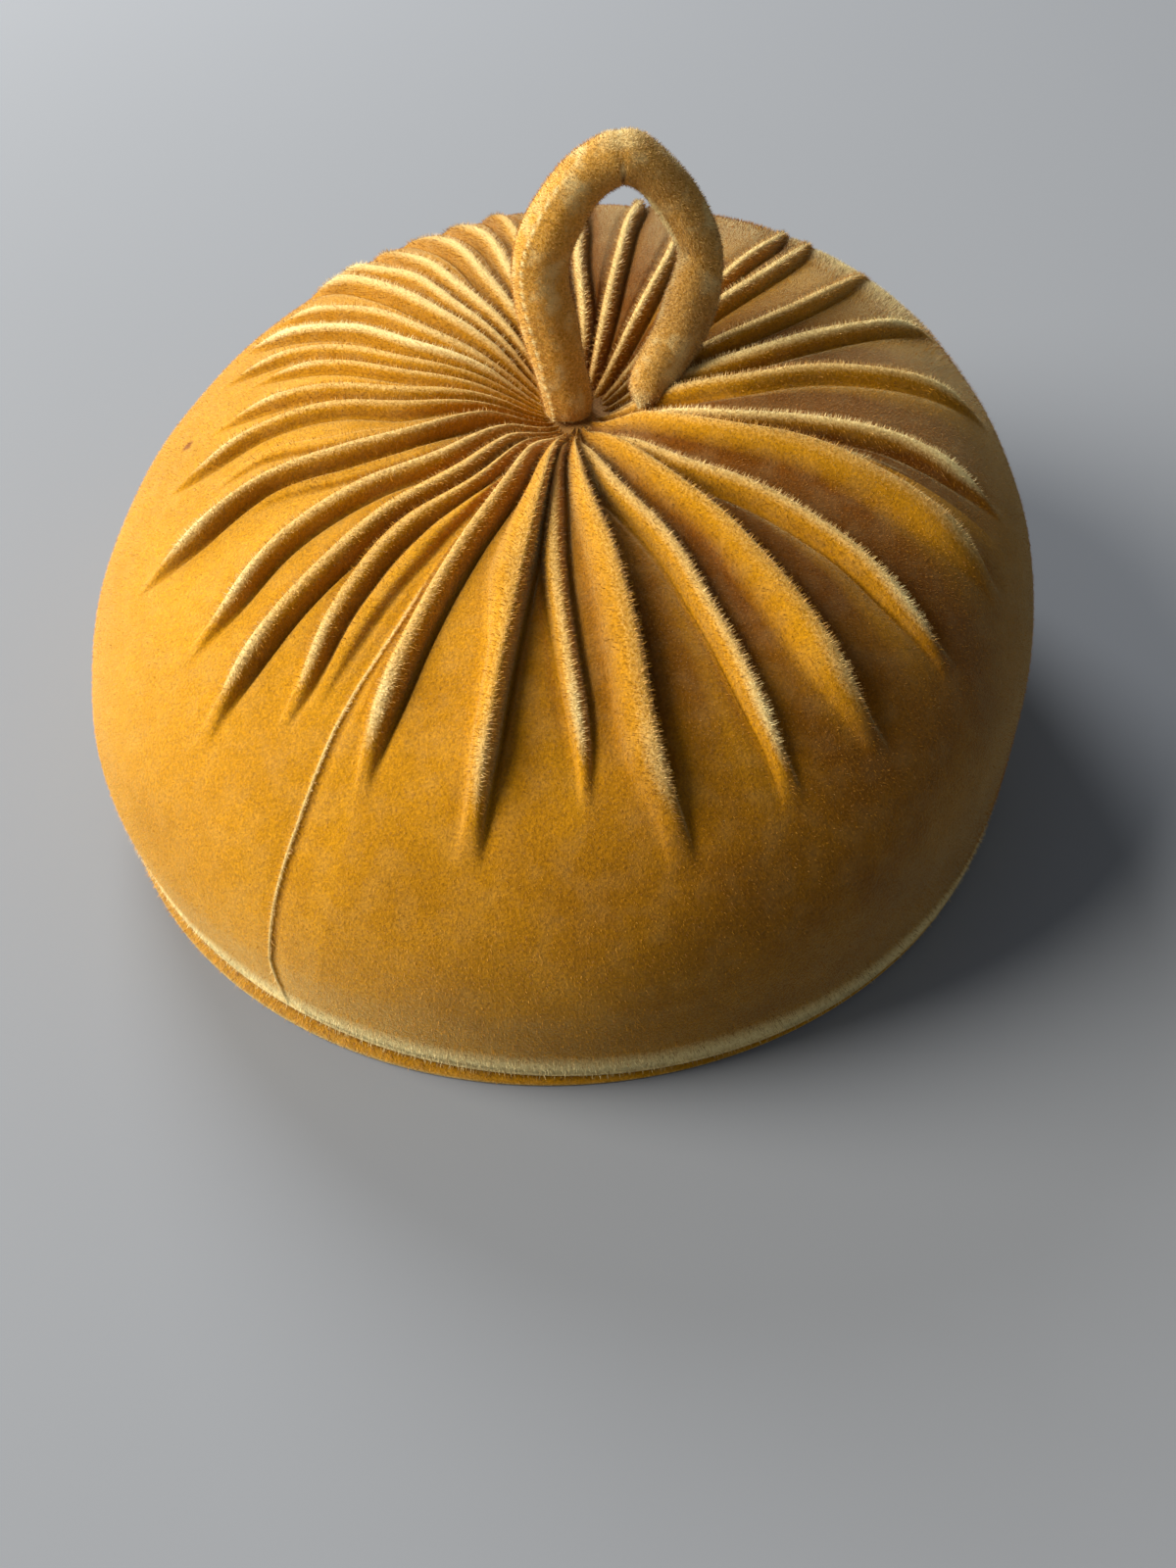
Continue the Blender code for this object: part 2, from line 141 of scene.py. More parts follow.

# One row a fold, in order of azimuth. The at_ columns follow its crest outwards, in degrees
# at 20 to 120 mm from the gather; the others are in mm. It lives from start to end and stands
# ridge high. Its right flank is half wide, its left one half_50 at 50 mm and half_90 at 90 mm.
# The cloth on its left swells up to it by swell, its crest leans over to the right by lean,
# left and right are the depths of its two grooves, and pale is how much painted sheen and wear lighten
# its crest.
FOLD_PLACES = (0.020, 0.040, 0.060, 0.080, 0.100, 0.120)
Fold = namedtuple(
    "Fold",
    "at_20 at_40 at_60 at_80 at_100 at_120 start end ridge half half_50 half_90 "
    "swell lean left right pale",
)
FOLDS = (
    Fold(71, 73.4, 75.4, 76, 77.7, 78.7, 0, 113, 2.7, 1.9, 1.9, 1.9, 0.5, 0.0, 1.8, 1.4, 0.8),
    Fold(83, 87, 87, 87.7, 88, 88, 0, 113, 2.7, 1.9, 1.9, 1.9, 0.5, 0.0, 1.8, 1.4, 0.8),
    Fold(93.5, 95, 95.5, 95, 95, 95, 0, 113, 2.6, 2.0, 2.0, 2.0, 0.4, 0.0, 1.6, 1.2, 0.7),
    Fold(102, 103.2, 103, 102.5, 102.5, 102, 0, 112, 2.8, 2.2, 2.2, 2.2, 0.3, -0.3, 1.0, 1.7, 0.6),
    Fold(110, 111, 109.1, 109.5, 109, 108.5, 0, 112, 2.8, 2.2, 2.2, 2.2, 0.3, -0.3, 1.0, 1.7, 0.8),
    Fold(118, 118.8, 116.6, 116, 115.5, 115, 0, 112, 2.8, 2.2, 2.2, 2.2, 0.3, -0.3, 1.0, 1.9, 0.8),
    Fold(127.5, 128.2, 125.3, 123.5, 121, 119, 0, 112, 2.8, 2.2, 2.2, 2.2, 0.3, -0.3, 1.0, 1.9, 0.8),
    Fold(135, 134.5, 130.6, 129.6, 128, 127, 0, 110, 2.8, 2.4, 2.2, 2.2, 0.0, -0.2, 0.8, 1.4, 0.8),
    Fold(143.2, 141.5, 137.5, 134.3, 133, 132, 0, 108, 3.2, 2.6, 2.4, 2.4, 0.0, -0.3, 0.8, 1.6, 0.8),
    Fold(153.5, 151.5, 146, 144, 143.5, 143, 0, 104, 2.2, 2.4, 2.2, 2.2, 0.4, 0.0, 0.6, 0.8, 0.68),
    Fold(161.5, 160.5, 154, 151.5, 151, 150, 0, 106, 3.0, 2.4, 2.2, 2.2, 0.0, -0.6, 1.6, 0.5, 1),
    Fold(167.5, 167.5, 161, 158, 159.5, 159, 0, 104, 2.2, 2.4, 2.2, 2.2, 0.0, 0.0, 0.7, 0.7, 0.5),
    Fold(175, 174, 166.5, 163.5, 165, 164, 0, 92, 2.0, 2.2, 2.0, 2.0, 0.0, 0.0, 0.6, 0.7, 0.5),
    Fold(186, 185, 176.3, 173, 173.5, 172, 0, 98, 2.4, 2.6, 2.2, 2.2, 0.5, 0.0, 0.5, 0.9, 0.5),
    Fold(194, 192.2, 182.9, 180.6, 183, 182.5, 0, 108, 2.6, 2.8, 2.2, 2.2, 0.2, 0.1, 0.5, 1.0, 0.5),
    Fold(198.5, 199, 195, 188.4, 190.4, 190.5, 45, 96, 1.0, 2.4, 2.4, 2.4, 0.3, 0.0, 0.3, 0.3, 0.2),
    Fold(205, 206.8, 200.6, 196.7, 197.7, 197.5, 0, 116, 3.2, 3.4, 2.4, 2.2, 0.8, 0.4, 0.4, 1.8, 0.6),
    Fold(212, 214.2, 207.6, 200.4, 202.4, 202, 30, 88, 1.0, 2.4, 2.4, 2.4, 0.0, 0.0, 0.3, 0.4, 0.2),
    Fold(220, 222.3, 214.5, 212.2, 214.4, 215, 0, 111, 2.8, 3.2, 2.4, 2.2, 1.0, 0.3, 0.4, 1.3, 0.6),
    Fold(231, 232.3, 225.2, 223.4, 223.4, 225, 0, 118, 3.4, 3.6, 2.6, 2.2, 0.6, 0.6, 0.5, 2.0, 0.55),
    Fold(239, 239.2, 230.9, 230.6, 233.2, 234, 0, 109, 2.8, 3.2, 2.4, 2.2, 0.2, 0.3, 0.5, 1.6, 0.5),
    Fold(242, 243.2, 237.9, 235.9, 236.4, 237, 34, 104, 1.0, 2.4, 2.6, 2.4, 0.8, 0.0, 0.2, 0.3, 0.2),
    Fold(243.8, 244.9, 242.2, 241.4, 240.4, 241, 62, 999, 0.3, 0.7, 0.7, 0.7, 0.0, 0.0, 0.2, 0.4, 0.7),
    Fold(245.3, 246.5, 244.6, 244.3, 245, 247, 0, 113, 3.8, 3.8, 2.6, 2.2, 0.4, 0.7, 0.6, 2.3, 0.55),
    Fold(257, 259, 258.6, 258.7, 259.1, 259.5, 0, 120, 4.6, 2.4, 7.0, 3.0, 1.6, 1.0, 0.2, 2.2, 0.4),
    Fold(261, 262.1, 264.6, 267.5, 270, 271, 0, 111, 3.2, 2.4, 2.5, 2.2, 0.0, 0.3, 1.2, 1.6, 0.52),
    Fold(266, 269.4, 274.7, 276.8, 277.5, 279.8, 0, 122, 4.6, 2.4, 7.5, 5.5, 1.6, 1.0, 0.2, 2.3, 0.4),
    Fold(270, 278.2, 286.5, 289.1, 290.7, 292.2, 0, 119, 4.0, 2.2, 2.9, 2.4, 0.0, 0.5, 1.4, 1.6, 0.58),
    Fold(280, 289.1, 296.5, 299.6, 301, 303, 0, 119, 4.4, 2.4, 8.0, 5.0, 2.0, 1.0, 0.3, 2.0, 0.4),
    Fold(287, 297, 308.3, 312.9, 314.9, 316.5, 0, 117, 4.2, 2.1, 2.8, 2.4, 0.0, 0.5, 1.6, 1.8, 0.62),
    Fold(305, 313.6, 323.6, 327.4, 329.2, 331, 0, 118, 3.4, 2.4, 8.0, 6.0, 2.6, 0.9, 0.3, 1.4, 0.4),
    Fold(310, 318.1, 327.6, 333.6, 336, 338, 45, 90, 1.0, 1.6, 1.6, 1.6, 0.0, 0.0, 0.9, 0.8, 0.5),
    Fold(314, 322.5, 332.9, 339, 341, 342.5, 0, 114, 3.8, 2.4, 2.6, 2.4, 0.0, 0.2, 1.4, 1.2, 0.8),
    Fold(334, 340.6, 351.2, 355.7, 358.5, 361, 0, 112, 2.8, 2.4, 3.0, 3.0, 1.4, 0.0, 1.0, 0.8, 0.6),
    Fold(348, 355.6, 365.3, 372.4, 378, 380.5, 0, 108, 3.0, 2.2, 4.0, 3.4, 0.0, -0.3, 1.7, 0.7, 0.8),
    Fold(362, 368.5, 377.2, 386.2, 394.5, 397, 0, 113, 2.8, 2.2, 3.2, 3.0, 0.5, -0.3, 1.8, 0.7, 0.7),
    Fold(381, 387, 393.2, 400, 407, 409.5, 0, 113, 2.8, 2.2, 2.4, 2.4, 0.5, 0.0, 1.8, 0.9, 0.8),
    Fold(392, 395.5, 401.7, 406.4, 412, 414.5, 0, 113, 2.7, 2.1, 2.2, 2.2, 0.0, 0.0, 1.7, 1.0, 0.8),
    Fold(412, 416.5, 421.6, 425.1, 427.5, 429, 0, 113, 2.7, 1.9, 1.9, 1.9, 0.6, 0.0, 1.8, 1.4, 0.8),
)

# Sections of the stem along its middle line, in mm: where the middle is and how thick it is
StemRow = namedtuple("StemRow", "x y z thick")
STEM_FOOT_THICK = 11.0
STEM = (
    StemRow(5.7, 5.4, 92.5, 12.2),
    StemRow(4.5, 6.2, 99.0, 12.5),
    StemRow(2.6, 7.6, 108.7, 13.1),
    StemRow(0.7, 9.0, 118.3, 13.2),
    StemRow(0.7, 10.0, 125.5, 13.0),
    StemRow(2.7, 10.9, 132.0, 12.5),
    StemRow(8.5, 12.2, 141.0, 12.0),
    StemRow(14.3, 12.9, 146.3, 11.6),
    StemRow(20.8, 13.2, 148.6, 11.2),
    StemRow(26.7, 12.8, 145.8, 10.7),
    StemRow(31.9, 12.1, 140.3, 10.3),
    StemRow(36.3, 11.0, 132.4, 10.6),
    StemRow(38.0, 10.0, 125.5, 11.2),
    StemRow(36.6, 8.3, 117.0, 12.2),
    StemRow(33.4, 6.2, 108.6, 12.6),
    StemRow(29.5, 2.6, 103.8, 12.0),
    StemRow(26.2, -1.6, 100.2, 10.6),
    StemRow(24.4, -4.4, 98.2, 8.4),
)
STEM_RINGS_PER_STRETCH = 10
STEM_SIDES = 48

# Details of the stem. An _AT or a _REACH counts rows of the table above from the foot, and
# the shares are of the tube's radius
STEM_SEAM_TURN = 0.3 * pi
STEM_SEAM_HALF_TURN = 0.11
STEM_SEAM_ENDS_AT = 7.6
STEM_PINCH_AT = 8.9
STEM_PINCH_REACH = 0.16
STEM_PINCH_SHARE = 0.09
STEM_PINCH_INNER_SHARE = 0.16
STEM_SWELL_REACH = 0.6
STEM_SWELL_SHARE = 0.05
STEM_TOP_REACH = 0.8
STEM_BEND_AT = 12.4
STEM_BEND_REACH = 0.8
STEM_BEND_SHARE = 0.08
STEM_FLAP_AT = 11.2
STEM_FLAP_REACH = 1.5
STEM_FLAP_FRONT = 0.55
STEM_FLAP_WIDE = 0.2
STEM_FLAP_HEIGHT = 0.9
STEM_TIP_ROUND = 0.9

# How pale the stem's pile is: worn all over, seam and flap, painted highlight on top, foot and tip
STEM_WORN = 0.42
STEM_SEAM_WORN = 1.3
STEM_TOP_HIGHLIGHT = 0.75
STEM_FOOT_WORN = 0.6
STEM_FOOT_REACH = 0.8
STEM_TIP_WORN = 0.4
# Painted shade: how much and over what reach the stem darkens towards +X, away from the key light
STEM_SHADE = 0.45
STEM_SHADE_REACH = 0.06

# Painted shade on the pile, by azimuth from 0 to 360: darkest on the right and far sides, away from
# the key light, more near the top, deep in the grooves, and lifted where cloth rises to a fold
SHADE_STEP_DEGREES = 30
SHADE_BY_SIDE = (0.6, 0.35, 0.85, 1.0, 0.32, 0.0, 0.0, 0.0, 0.06, 0.38, 0.72, 0.72)
SHADE_TOP = 0.06
SHADE_TOP_SHARE = 1.6
GROOVE_SHADE = 0.85
GROOVE_SHADE_LEAST = 0.4
GROOVE_SHADE_WIDTH = 0.0014
SHADE_LIFTS_FROM = 0.5
SHADE_LIFTS_TO = 0.85
SHADE_LIFTED = 0.8
FAR_SHADE_LIFTED = 0.2
FAR_SHADE_FROM = 45
FAR_SHADE_TO = 135

# Standing fibres: none starts lower than this, and the darkest is this much like the pile
FIBRES_ABOVE = 0.0016
FIBRE_LEAST = 0.2
FOLD_FIBRES = 1.6
FOLD_NAP_LOSS = 0.7
LAY_SIDEWAYS = 1.3
WALL_LAY_ASIDE = 0.4

# Painted sheen: where the far right side's pile is pale between the folds, as light grazes it
SHINE = 0.95
SHINE_AZIMUTH = 36
SHINE_TURN = 20
SHINE_RADIUS = 0.100
SHINE_REACH = 0.016

# Marks on the crown: where each is and how large
STAIN_PLACE = (-0.0934, 0.0160, 0.0760)
STAIN_RADIUS = 0.0026
SPECK_PLACE = (0.0333, -0.0876, 0.0803)
SPECK_RADIUS = 0.0006

# Band: its face under the crown's edge, its flat, and the collar round the head opening
BAND_INSET = 0.0022
BAND_LEAN = 0.0030
BAND_BULGE = 0.0008
BAND_LEG = 0.0045
BAND_FLAT = 0.0025
BAND_ROUND = 0.0014
OPENING_HALF_X = 0.078
OPENING_HALF_Y = 0.100
COLLAR_TOP = 0.030
COLLAR_WALL = 0.0025
BAND_COLUMNS = 240
BAND_FACE_STEPS = 8
BAND_WORN = 0.45
BAND_LOOSE = 0.6

# Stage: the floor, a disk light on the left, a weaker one behind and the room's light
FLOOR_HALF = 12.0
LIGHTS_AIM = (0, 0, 0.05)
KEY_PLACE = (-2.2, -0.1, 1.5)
KEY_SIZE = 1.9
KEY_COLOUR = (1.0, 0.97, 0.92)
BACK_PLACE = (-0.9, 2.1, 1.3)
BACK_SIZE = 1.2
BACK_COLOUR = (0.95, 0.97, 1.0)
SKY_COLOUR = (0.86, 0.92, 1.0, 1.0)

# Camera: where it stands, its tilt down from level, its roll and its lens
CAMERA_PLACE = (0.0071, -0.3378, 0.2979)
CAMERA_TILT_DOWN = 44.77
CAMERA_ROLL = -2.21
CAMERA_LENS = 36.02
SENSOR_LONG_SIDE = 36.0


class CrownSettings(bpy.types.PropertyGroup):
    """Form of the crown and its folds"""

    dome_height: FloatProperty(
        name="Dome height", description="Height of the top above the belly, before the dimple",
        default=0.074, unit="LENGTH")
    dimple_depth: FloatProperty(
        name="Dimple depth", description="How deep the gather pulls the middle of the top down",
        default=0.016, unit="LENGTH")
    fold_height: FloatProperty(
        name="Fold height", description="Multiplies the height of every fold",
        default=1.0, min=0.0, max=2.0)
    fold_width: FloatProperty(
        name="Fold width", description="Multiplies the width of every fold",
        default=1.0, min=0.3, max=2.0)
    ripple: FloatProperty(
        name="Ripple", description="Height of the soft waves in the plain cloth",
        default=0.00035, unit="LENGTH")


class StemSettings(bpy.types.PropertyGroup):
    """Form of the loop stem"""

    fullness: FloatProperty(
        name="Fullness", description="Multiplies the thickness of the stuffed tube",
        default=1.0, min=0.5, max=1.2)
    seam_height: FloatProperty(
        name="Seam height", description="How far the tube's seam stands up",
        default=0.0010, unit="LENGTH")
    lump_height: FloatProperty(
        name="Lump height", description="Height of the soft lumps of the stuffing",
        default=0.0003, unit="LENGTH")


class VelvetSettings(bpy.types.PropertyGroup):
    """Colours of the velvet"""

    pile: FloatVectorProperty(
        name="Pile", description="Colour of the velvet's pile",
        default=(0.57, 0.250, 0.003), size=3, subtype="COLOR")
    # Deep pile: the colour of painted shade on the pile, and the darkest fibres' own tone
    shaded_and_dark_pile: FloatVectorProperty(
        name="Deep pile", description="Colour where the pile is pressed or parted",
        default=(0.16, 0.046, 0.001), size=3, subtype="COLOR")
    # Rubbed pile: pale colour of painted sheen and wear on folds, seams and edges, and the lint
    # speck's colour
    sheen_and_wear_pile: FloatVectorProperty(
        name="Rubbed pile", description="Pale colour on tight folds, seams and edges",
        default=(0.86, 0.70, 0.32), size=3, subtype="COLOR")
    sheen: FloatVectorProperty(
        name="Sheen", description="Colour of the sheen at grazing angles",
        default=(1.0, 0.88, 0.44), size=3, subtype="COLOR")
    stain: FloatVectorProperty(
        name="Stain", description="Colour of the small old stain on the left",
        default=(0.22, 0.055, 0.001), size=3, subtype="COLOR")
    back: FloatVectorProperty(
        name="Back", description="Colour of the velvet's woven back, inside the hat",
        default=(0.36, 0.17, 0.03), size=3, subtype="COLOR")


class PileSettings(bpy.types.PropertyGroup):
    """The velvet's standing fibres"""

    length: FloatProperty(
        name="Length", description="Length of the pile's fibres", default=0.0012,
        unit="LENGTH")
    width: FloatProperty(
        name="Width", description="Width of a fibre at its foot", default=0.00016,
        unit="LENGTH")
    tilt: FloatProperty(
        name="Tilt", description="How far the pile leans along its lay", default=0.8)
    unevenness: FloatProperty(
        name="Unevenness", description="How far single fibres stray from the lay",
        default=0.5)
    thickness: FloatProperty(
        name="Thickness", description="Fibres on a square millimetre of a tight fold",
        default=4.0)
    seed: IntProperty(name="Seed", description="Changes where each fibre stands", default=11)


class StageSettings(bpy.types.PropertyGroup):
    """Floor and lights"""

    floor: FloatVectorProperty(
        name="Floor", description="Colour of the plain floor",
        default=(0.21, 0.218, 0.228), size=3, subtype="COLOR")
    key_power: FloatProperty(
        name="Key light", description="Power of the large soft light on the left",
        default=154.0, min=0.0, unit="POWER")
    back_power: FloatProperty(
        name="Back light", description="Power of the weaker light behind the hat",
        default=85.0, min=0.0, unit="POWER")
    sky: FloatProperty(
        name="Room light", description="Strength of the even light of the room",
        default=0.24, min=0.0)


def smooth(share):
    """0 below 0 and 1 above 1, with an S-curve between."""
    share = np.clip(share, 0.0, 1.0)
    return share * share * (3 - 2 * share)


def bell(at, place, reach):
    """1 at the place and less the farther from it, along a bell curve of this reach."""
    return np.exp(-(((at - place) / reach) ** 2))


def through(x, places, values):
    """A smooth curve through evenly spaced readings, held level past both ends."""
    step = places[1] - places[0]
    at = np.clip((np.asarray(x, float) - places[0]) / step, 0, len(places) - 1.000001)
    left = at.astype(int)
    t = at - left
    padded = np.concatenate([[values[0]], values, [values[-1]]]).astype(float)
    a = padded[left]
    b = padded[left + 1]
    c = padded[left + 2]
    d = padded[np.minimum(left + 3, len(padded) - 1)]
    bend = 2 * a - 5 * b + 4 * c - d
    twist = 3 * b - a - 3 * c + d
    return b + 0.5 * t * (c - a + t * (bend + t * twist))


def plan_radius(azimuth):
    """Half width of the belly this way: the plan is an oval with its long way along Y."""
    return BELLY_RADIUS * (1 - OVAL * np.cos(np.radians(2 * azimuth)))


def dome_points(azimuth, radius, inset=0.0):
    """The smooth dome at these azimuths and radii, or the same form inset all round."""
    settings = bpy.context.scene.hat_crown
    share = np.minimum(1.0, radius / (BELLY_RADIUS - inset))
    rise = (1 - share**DOME_POWER) ** (1 / DOME_POWER)
    out = (plan_radius(azimuth) - inset) * share
    x = out * np.cos(np.radians(azimuth))
    y = out * np.sin(np.radians(azimuth))
    slope = TOP_SLOPE[0] * x + TOP_SLOPE[1] * y
    dimple = settings.dimple_depth * bell(radius, 0, DIMPLE_RADIUS)
    z = BELLY_Z + (settings.dome_height - inset + slope) * rise - dimple
    return np.stack([x + TOP_SHIFT[0] * rise, y + TOP_SHIFT[1] * rise, z], axis=-1)


def edge_height(azimuth):
    """Height of the crown's lower edge: lifted at the left, low everywhere else."""
    turn = np.mod(azimuth, 360)
    rises = smooth((EDGE_RISES_FROM - turn) / (EDGE_RISES_FROM - EDGE_HIGH_FROM))
    falls = smooth((turn - EDGE_FALLS_TO) / (EDGE_HIGH_TO - EDGE_FALLS_TO))
    return EDGE_LOW + (EDGE_HIGH - EDGE_LOW) * np.minimum(rises, falls)


def wall_points(azimuth, share, inset=0.0, stop=0.0):
    """The upright wall: share 0 at the belly and 1 at stop above the lower edge."""
    out = plan_radius(azimuth) - inset - EDGE_PULL_IN * share**2
    low = edge_height(azimuth) + stop
    z = BELLY_Z + (low - BELLY_Z) * share
    turn = np.radians(azimuth)
    return np.stack([out * np.cos(turn), out * np.sin(turn), z], axis=-1)


def unit(vectors):
    """The same directions, one long."""
    return vectors / np.linalg.norm(vectors, axis=-1, keepdims=True)


def dome_normals(azimuth, radius):
    """Outward direction of the smooth dome, from two short steps along it."""
    step = 0.0002
    inner = np.minimum(radius, BELLY_RADIUS - 2 * step)
    out = dome_points(azimuth, inner + step) - dome_points(azimuth, inner - step)
    ahead = dome_points(azimuth + 0.5, inner) - dome_points(azimuth - 0.5, inner)
    return unit(np.cross(out, ahead))


def row_radii():
    """Radii of the dome's rows, evenly spaced along the dome's own curve."""
    fine = BELLY_RADIUS * np.sin(np.linspace(0.0, pi / 2, 2000))
    line = dome_points(np.full(fine.shape, 270.0), fine)
    lengths = np.concatenate([[0], np.cumsum(np.linalg.norm(np.diff(line, axis=0), axis=1))])
    start = np.interp(GATHER_RADIUS, fine, lengths)
    return np.interp(np.linspace(start, lengths[-1], DOME_ROWS), lengths, fine)


def around(azimuth):
    """The level direction in which azimuths grow."""
    turn = np.radians(azimuth)
    return np.stack([-np.sin(turn), np.cos(turn), np.zeros_like(turn)], axis=-1)


def crest_azimuths(fold, radius):
    """Where a fold's crest runs, as an azimuth for each radius."""
    return through(radius, FOLD_PLACES, fold[:6])


def fold_life(fold, radius):
    """How much of its full size a fold has: small at the gather, none past its end."""
    grown = smooth((radius - GATHER_RADIUS) / (FOLD_GROWN_AT - GATHER_RADIUS))
    begun = smooth((radius - fold.start * MM) / START_FADE) if fold.start else 1.0
    far = FAR_FROM < fold.at_100 % 360 < FAR_TO
    ended = smooth((fold.end * MM - radius) / (FAR_END_FADE if far else END_FADE)) ** 0.8
    return (FOLD_START_SHARE + (1 - FOLD_START_SHARE) * grown) * begun * ended


def steepness(fold, radius):
    """Share of a ridge's height that its narrow foot near the gather can carry."""
    carried = RIDGE_STEEPEST * radius * np.radians(GATHER_STEP_DEGREES)
    return np.minimum(1.0, carried / (fold.ridge * MM))


def ridge_shape(across):
    """Cross-section of a ridge: 1 on the crest and 0 a half width away, with a round top."""
    return np.maximum(0.0, 1 - across**2) ** 0.62


def groove_shape(past_foot):
    """Cross-section of the groove past a ridge's foot: 1 where it is deepest."""
    return bell(past_foot, GROOVE_PLACE, GROOVE_WIDTH)


def half_width(fold, full, gap, life, radius):
    """Half width of one flank, which narrows in a narrow gap and towards the fold's end."""
    settings = bpy.context.scene.hat_crown
    full = full * MM * settings.fold_width * (0.5 + 0.5 * np.minimum(1.0, life))
    width = np.minimum(full, RIDGE_MOST_OF_GAP * gap)
    if fold.end > SEAM_END:
        return width
    even = smooth((radius - EVEN_FROM) / EVEN_OVER)
    return width + (gap / 7 - width) * even


def left_half(fold, radius):
    """Full half width of a fold's left flank in mm, which changes along a broad fold."""
    turn = smooth((radius - LEFT_FLANK_FROM) / (LEFT_FLANK_TO - LEFT_FLANK_FROM))
    return fold.half_50 + (fold.half_90 - fold.half_50) * turn


def crest_sheen_and_wear(fold, ridge, life, radius):
    """How pale a fold's crest is with painted sheen and wear: along its crest, and most near its end.
    """
    near_end = bell(radius, fold.end * MM - TIP_BEFORE_END, TIP_REACH)
    worn = fold.pale * (1 + TIP_PALER * near_end) * np.minimum(1, life)
    return worn[:, None] * ridge**CREST_SHEEN_NARROW


def gap_columns(fold, after, wrap, radius):
    """Azimuth, height, painted sheen and wear, sideways lay and painted shade of columns to the next
    crest.
    """
    settings = bpy.context.scene.hat_crown
    crest = crest_azimuths(fold, radius)
    next_crest = crest_azimuths(after, radius) + wrap
    gap = np.radians(next_crest - crest) * radius
    life = fold_life(fold, radius)
    next_life = fold_life(after, radius)
    half = half_width(fold, fold.half, gap, life, radius)
    next_half = half_width(after, left_half(after, radius), gap, next_life, radius)
    steep = steepness(fold, radius)
    next_steep = steepness(after, radius)

    between = gap - half - next_half
    widest = np.degrees(gap.max() / radius[gap.argmax()])
    panels = max(1, ceil(widest / PANEL_STEP_DEGREES) - 1)
    grooves = [np.minimum(step, share * between)
               for step, share in zip(GROOVE_STEPS, GROOVE_SHARES)]
    places = [np.zeros_like(radius)]
    places += [half * share for share in FLANK_SHARES]
    places += [half + groove for groove in grooves]
    low = places[-1]
    high = gap - next_half - grooves[-1]
    places += [low + (high - low) * (step + 1) / (panels + 1) for step in range(panels)]
    places += [gap - next_half - groove for groove in reversed(grooves)]
    places += [gap - next_half * share for share in reversed(FLANK_SHARES)]
    place = np.stack(places, axis=1)

    ridge = ridge_shape(place / half[:, None])
    next_ridge = ridge_shape((gap[:, None] - place) / next_half[:, None])
    share = place / gap[:, None]
    climb = smooth((share - SWELL_FROM) / (1 - SWELL_FROM))
    room = np.minimum(1.0, between / GROOVE_ROOM)[:, None]
    groove = groove_shape(place - half[:, None]) * (share > 0)
    next_groove = groove_shape(gap[:, None] - place - next_half[:, None]) * (share > 0)

    rise = (fold.ridge * steep + fold.swell) * life
    next_rise = after.ridge * next_steep * next_life
    height = rise[:, None] * ridge + next_rise[:, None] * next_ridge
    height += (after.swell * next_life)[:, None] * climb * (share > 0)
    height -= (fold.right * life)[:, None] * groove * room
    height -= (after.left * next_life)[:, None] * next_groove * room
    puff = np.minimum(life, next_life)[:, None] * np.sin(pi * share) * room
    lean = (fold.lean * life)[:, None] * ridge
    lean += (after.lean * next_life)[:, None] * np.maximum(next_ridge, SWELL_LEAN * climb**3)
    azimuth = crest[:, None] + np.degrees((place + lean * MM) / radius[:, None])
    rubbed = np.maximum(crest_sheen_and_wear(fold, ridge, life, radius),
                        crest_sheen_and_wear(after, next_ridge, next_life, radius))
    # Painted sheen: pale pile on the far right side between the folds
    shine = bell(np.mod(azimuth, 360), SHINE_AZIMUTH, SHINE_TURN)
    shine = SHINE * shine * bell(radius, SHINE_RADIUS, SHINE_REACH)[:, None]
    rubbed = np.maximum(rubbed, shine * (1 - np.maximum(ridge, next_ridge)))
    height = height * settings.fold_height * MM + puff * PANEL_PUFF
    sideways = ridge * np.minimum(1, life)[:, None]
    sideways -= next_ridge * np.minimum(1, next_life)[:, None]
    crests = np.maximum(ridge * np.minimum(1, life)[:, None],
                        next_ridge * np.minimum(1, next_life)[:, None])
    # Painted shade: darker in the grooves and on the sides away from the key light, none on the crests
    deep = shaded_and_dark_pile(azimuth, share, place - half[:, None], life[:, None], radius[:, None])
    return azimuth, height, rubbed, sideways, deep * (1 - crests**2)


def shaded_and_dark_pile(azimuth, share, past_foot, life, radius):
    """How much painted shade darkens the pile here: in a groove, and on the sides away from the key
    light.
    """
    turn = np.mod(azimuth, 360)
    far = (turn > FAR_SHADE_FROM) & (turn < FAR_SHADE_TO)
    turned = smooth((share - SHADE_LIFTS_FROM) / (SHADE_LIFTS_TO - SHADE_LIFTS_FROM))
    lower = SHADE_TOP_SHARE + (1 - SHADE_TOP_SHARE) * smooth((radius - SHADE_TOP) / SHADE_TOP)
    lower = np.where(far, 1.0, lower)
    turned = turned * np.where(far, FAR_SHADE_LIFTED, SHADE_LIFTED)
    plain = shade_by_azimuth(azimuth)
    panel = plain * lower * (1 - turned * life)
    groove = bell(past_foot, 0, GROOVE_SHADE_WIDTH) * life
    groove = groove * GROOVE_SHADE * (GROOVE_SHADE_LEAST + (1 - GROOVE_SHADE_LEAST) * plain)
    return np.clip(np.maximum(panel, groove), 0, 1)


def shade_by_azimuth(azimuth):
    """How much painted shade lies on the plain cloth on this side of the hat."""
    around = np.arange(len(SHADE_BY_SIDE) + 1) * SHADE_STEP_DEGREES
    return np.interp(np.mod(azimuth, 360), around, SHADE_BY_SIDE + SHADE_BY_SIDE[:1])


def all_columns(radius):
    """The columns of every gap side by side: one row for each radius."""
    parts = []
    for index, fold in enumerate(FOLDS):
        after = FOLDS[(index + 1) % len(FOLDS)]
        wrap = 360 if index + 1 == len(FOLDS) else 0
        parts.append(gap_columns(fold, after, wrap, radius))
    return [np.concatenate([part[item] for part in parts], axis=1) for item in range(5)]


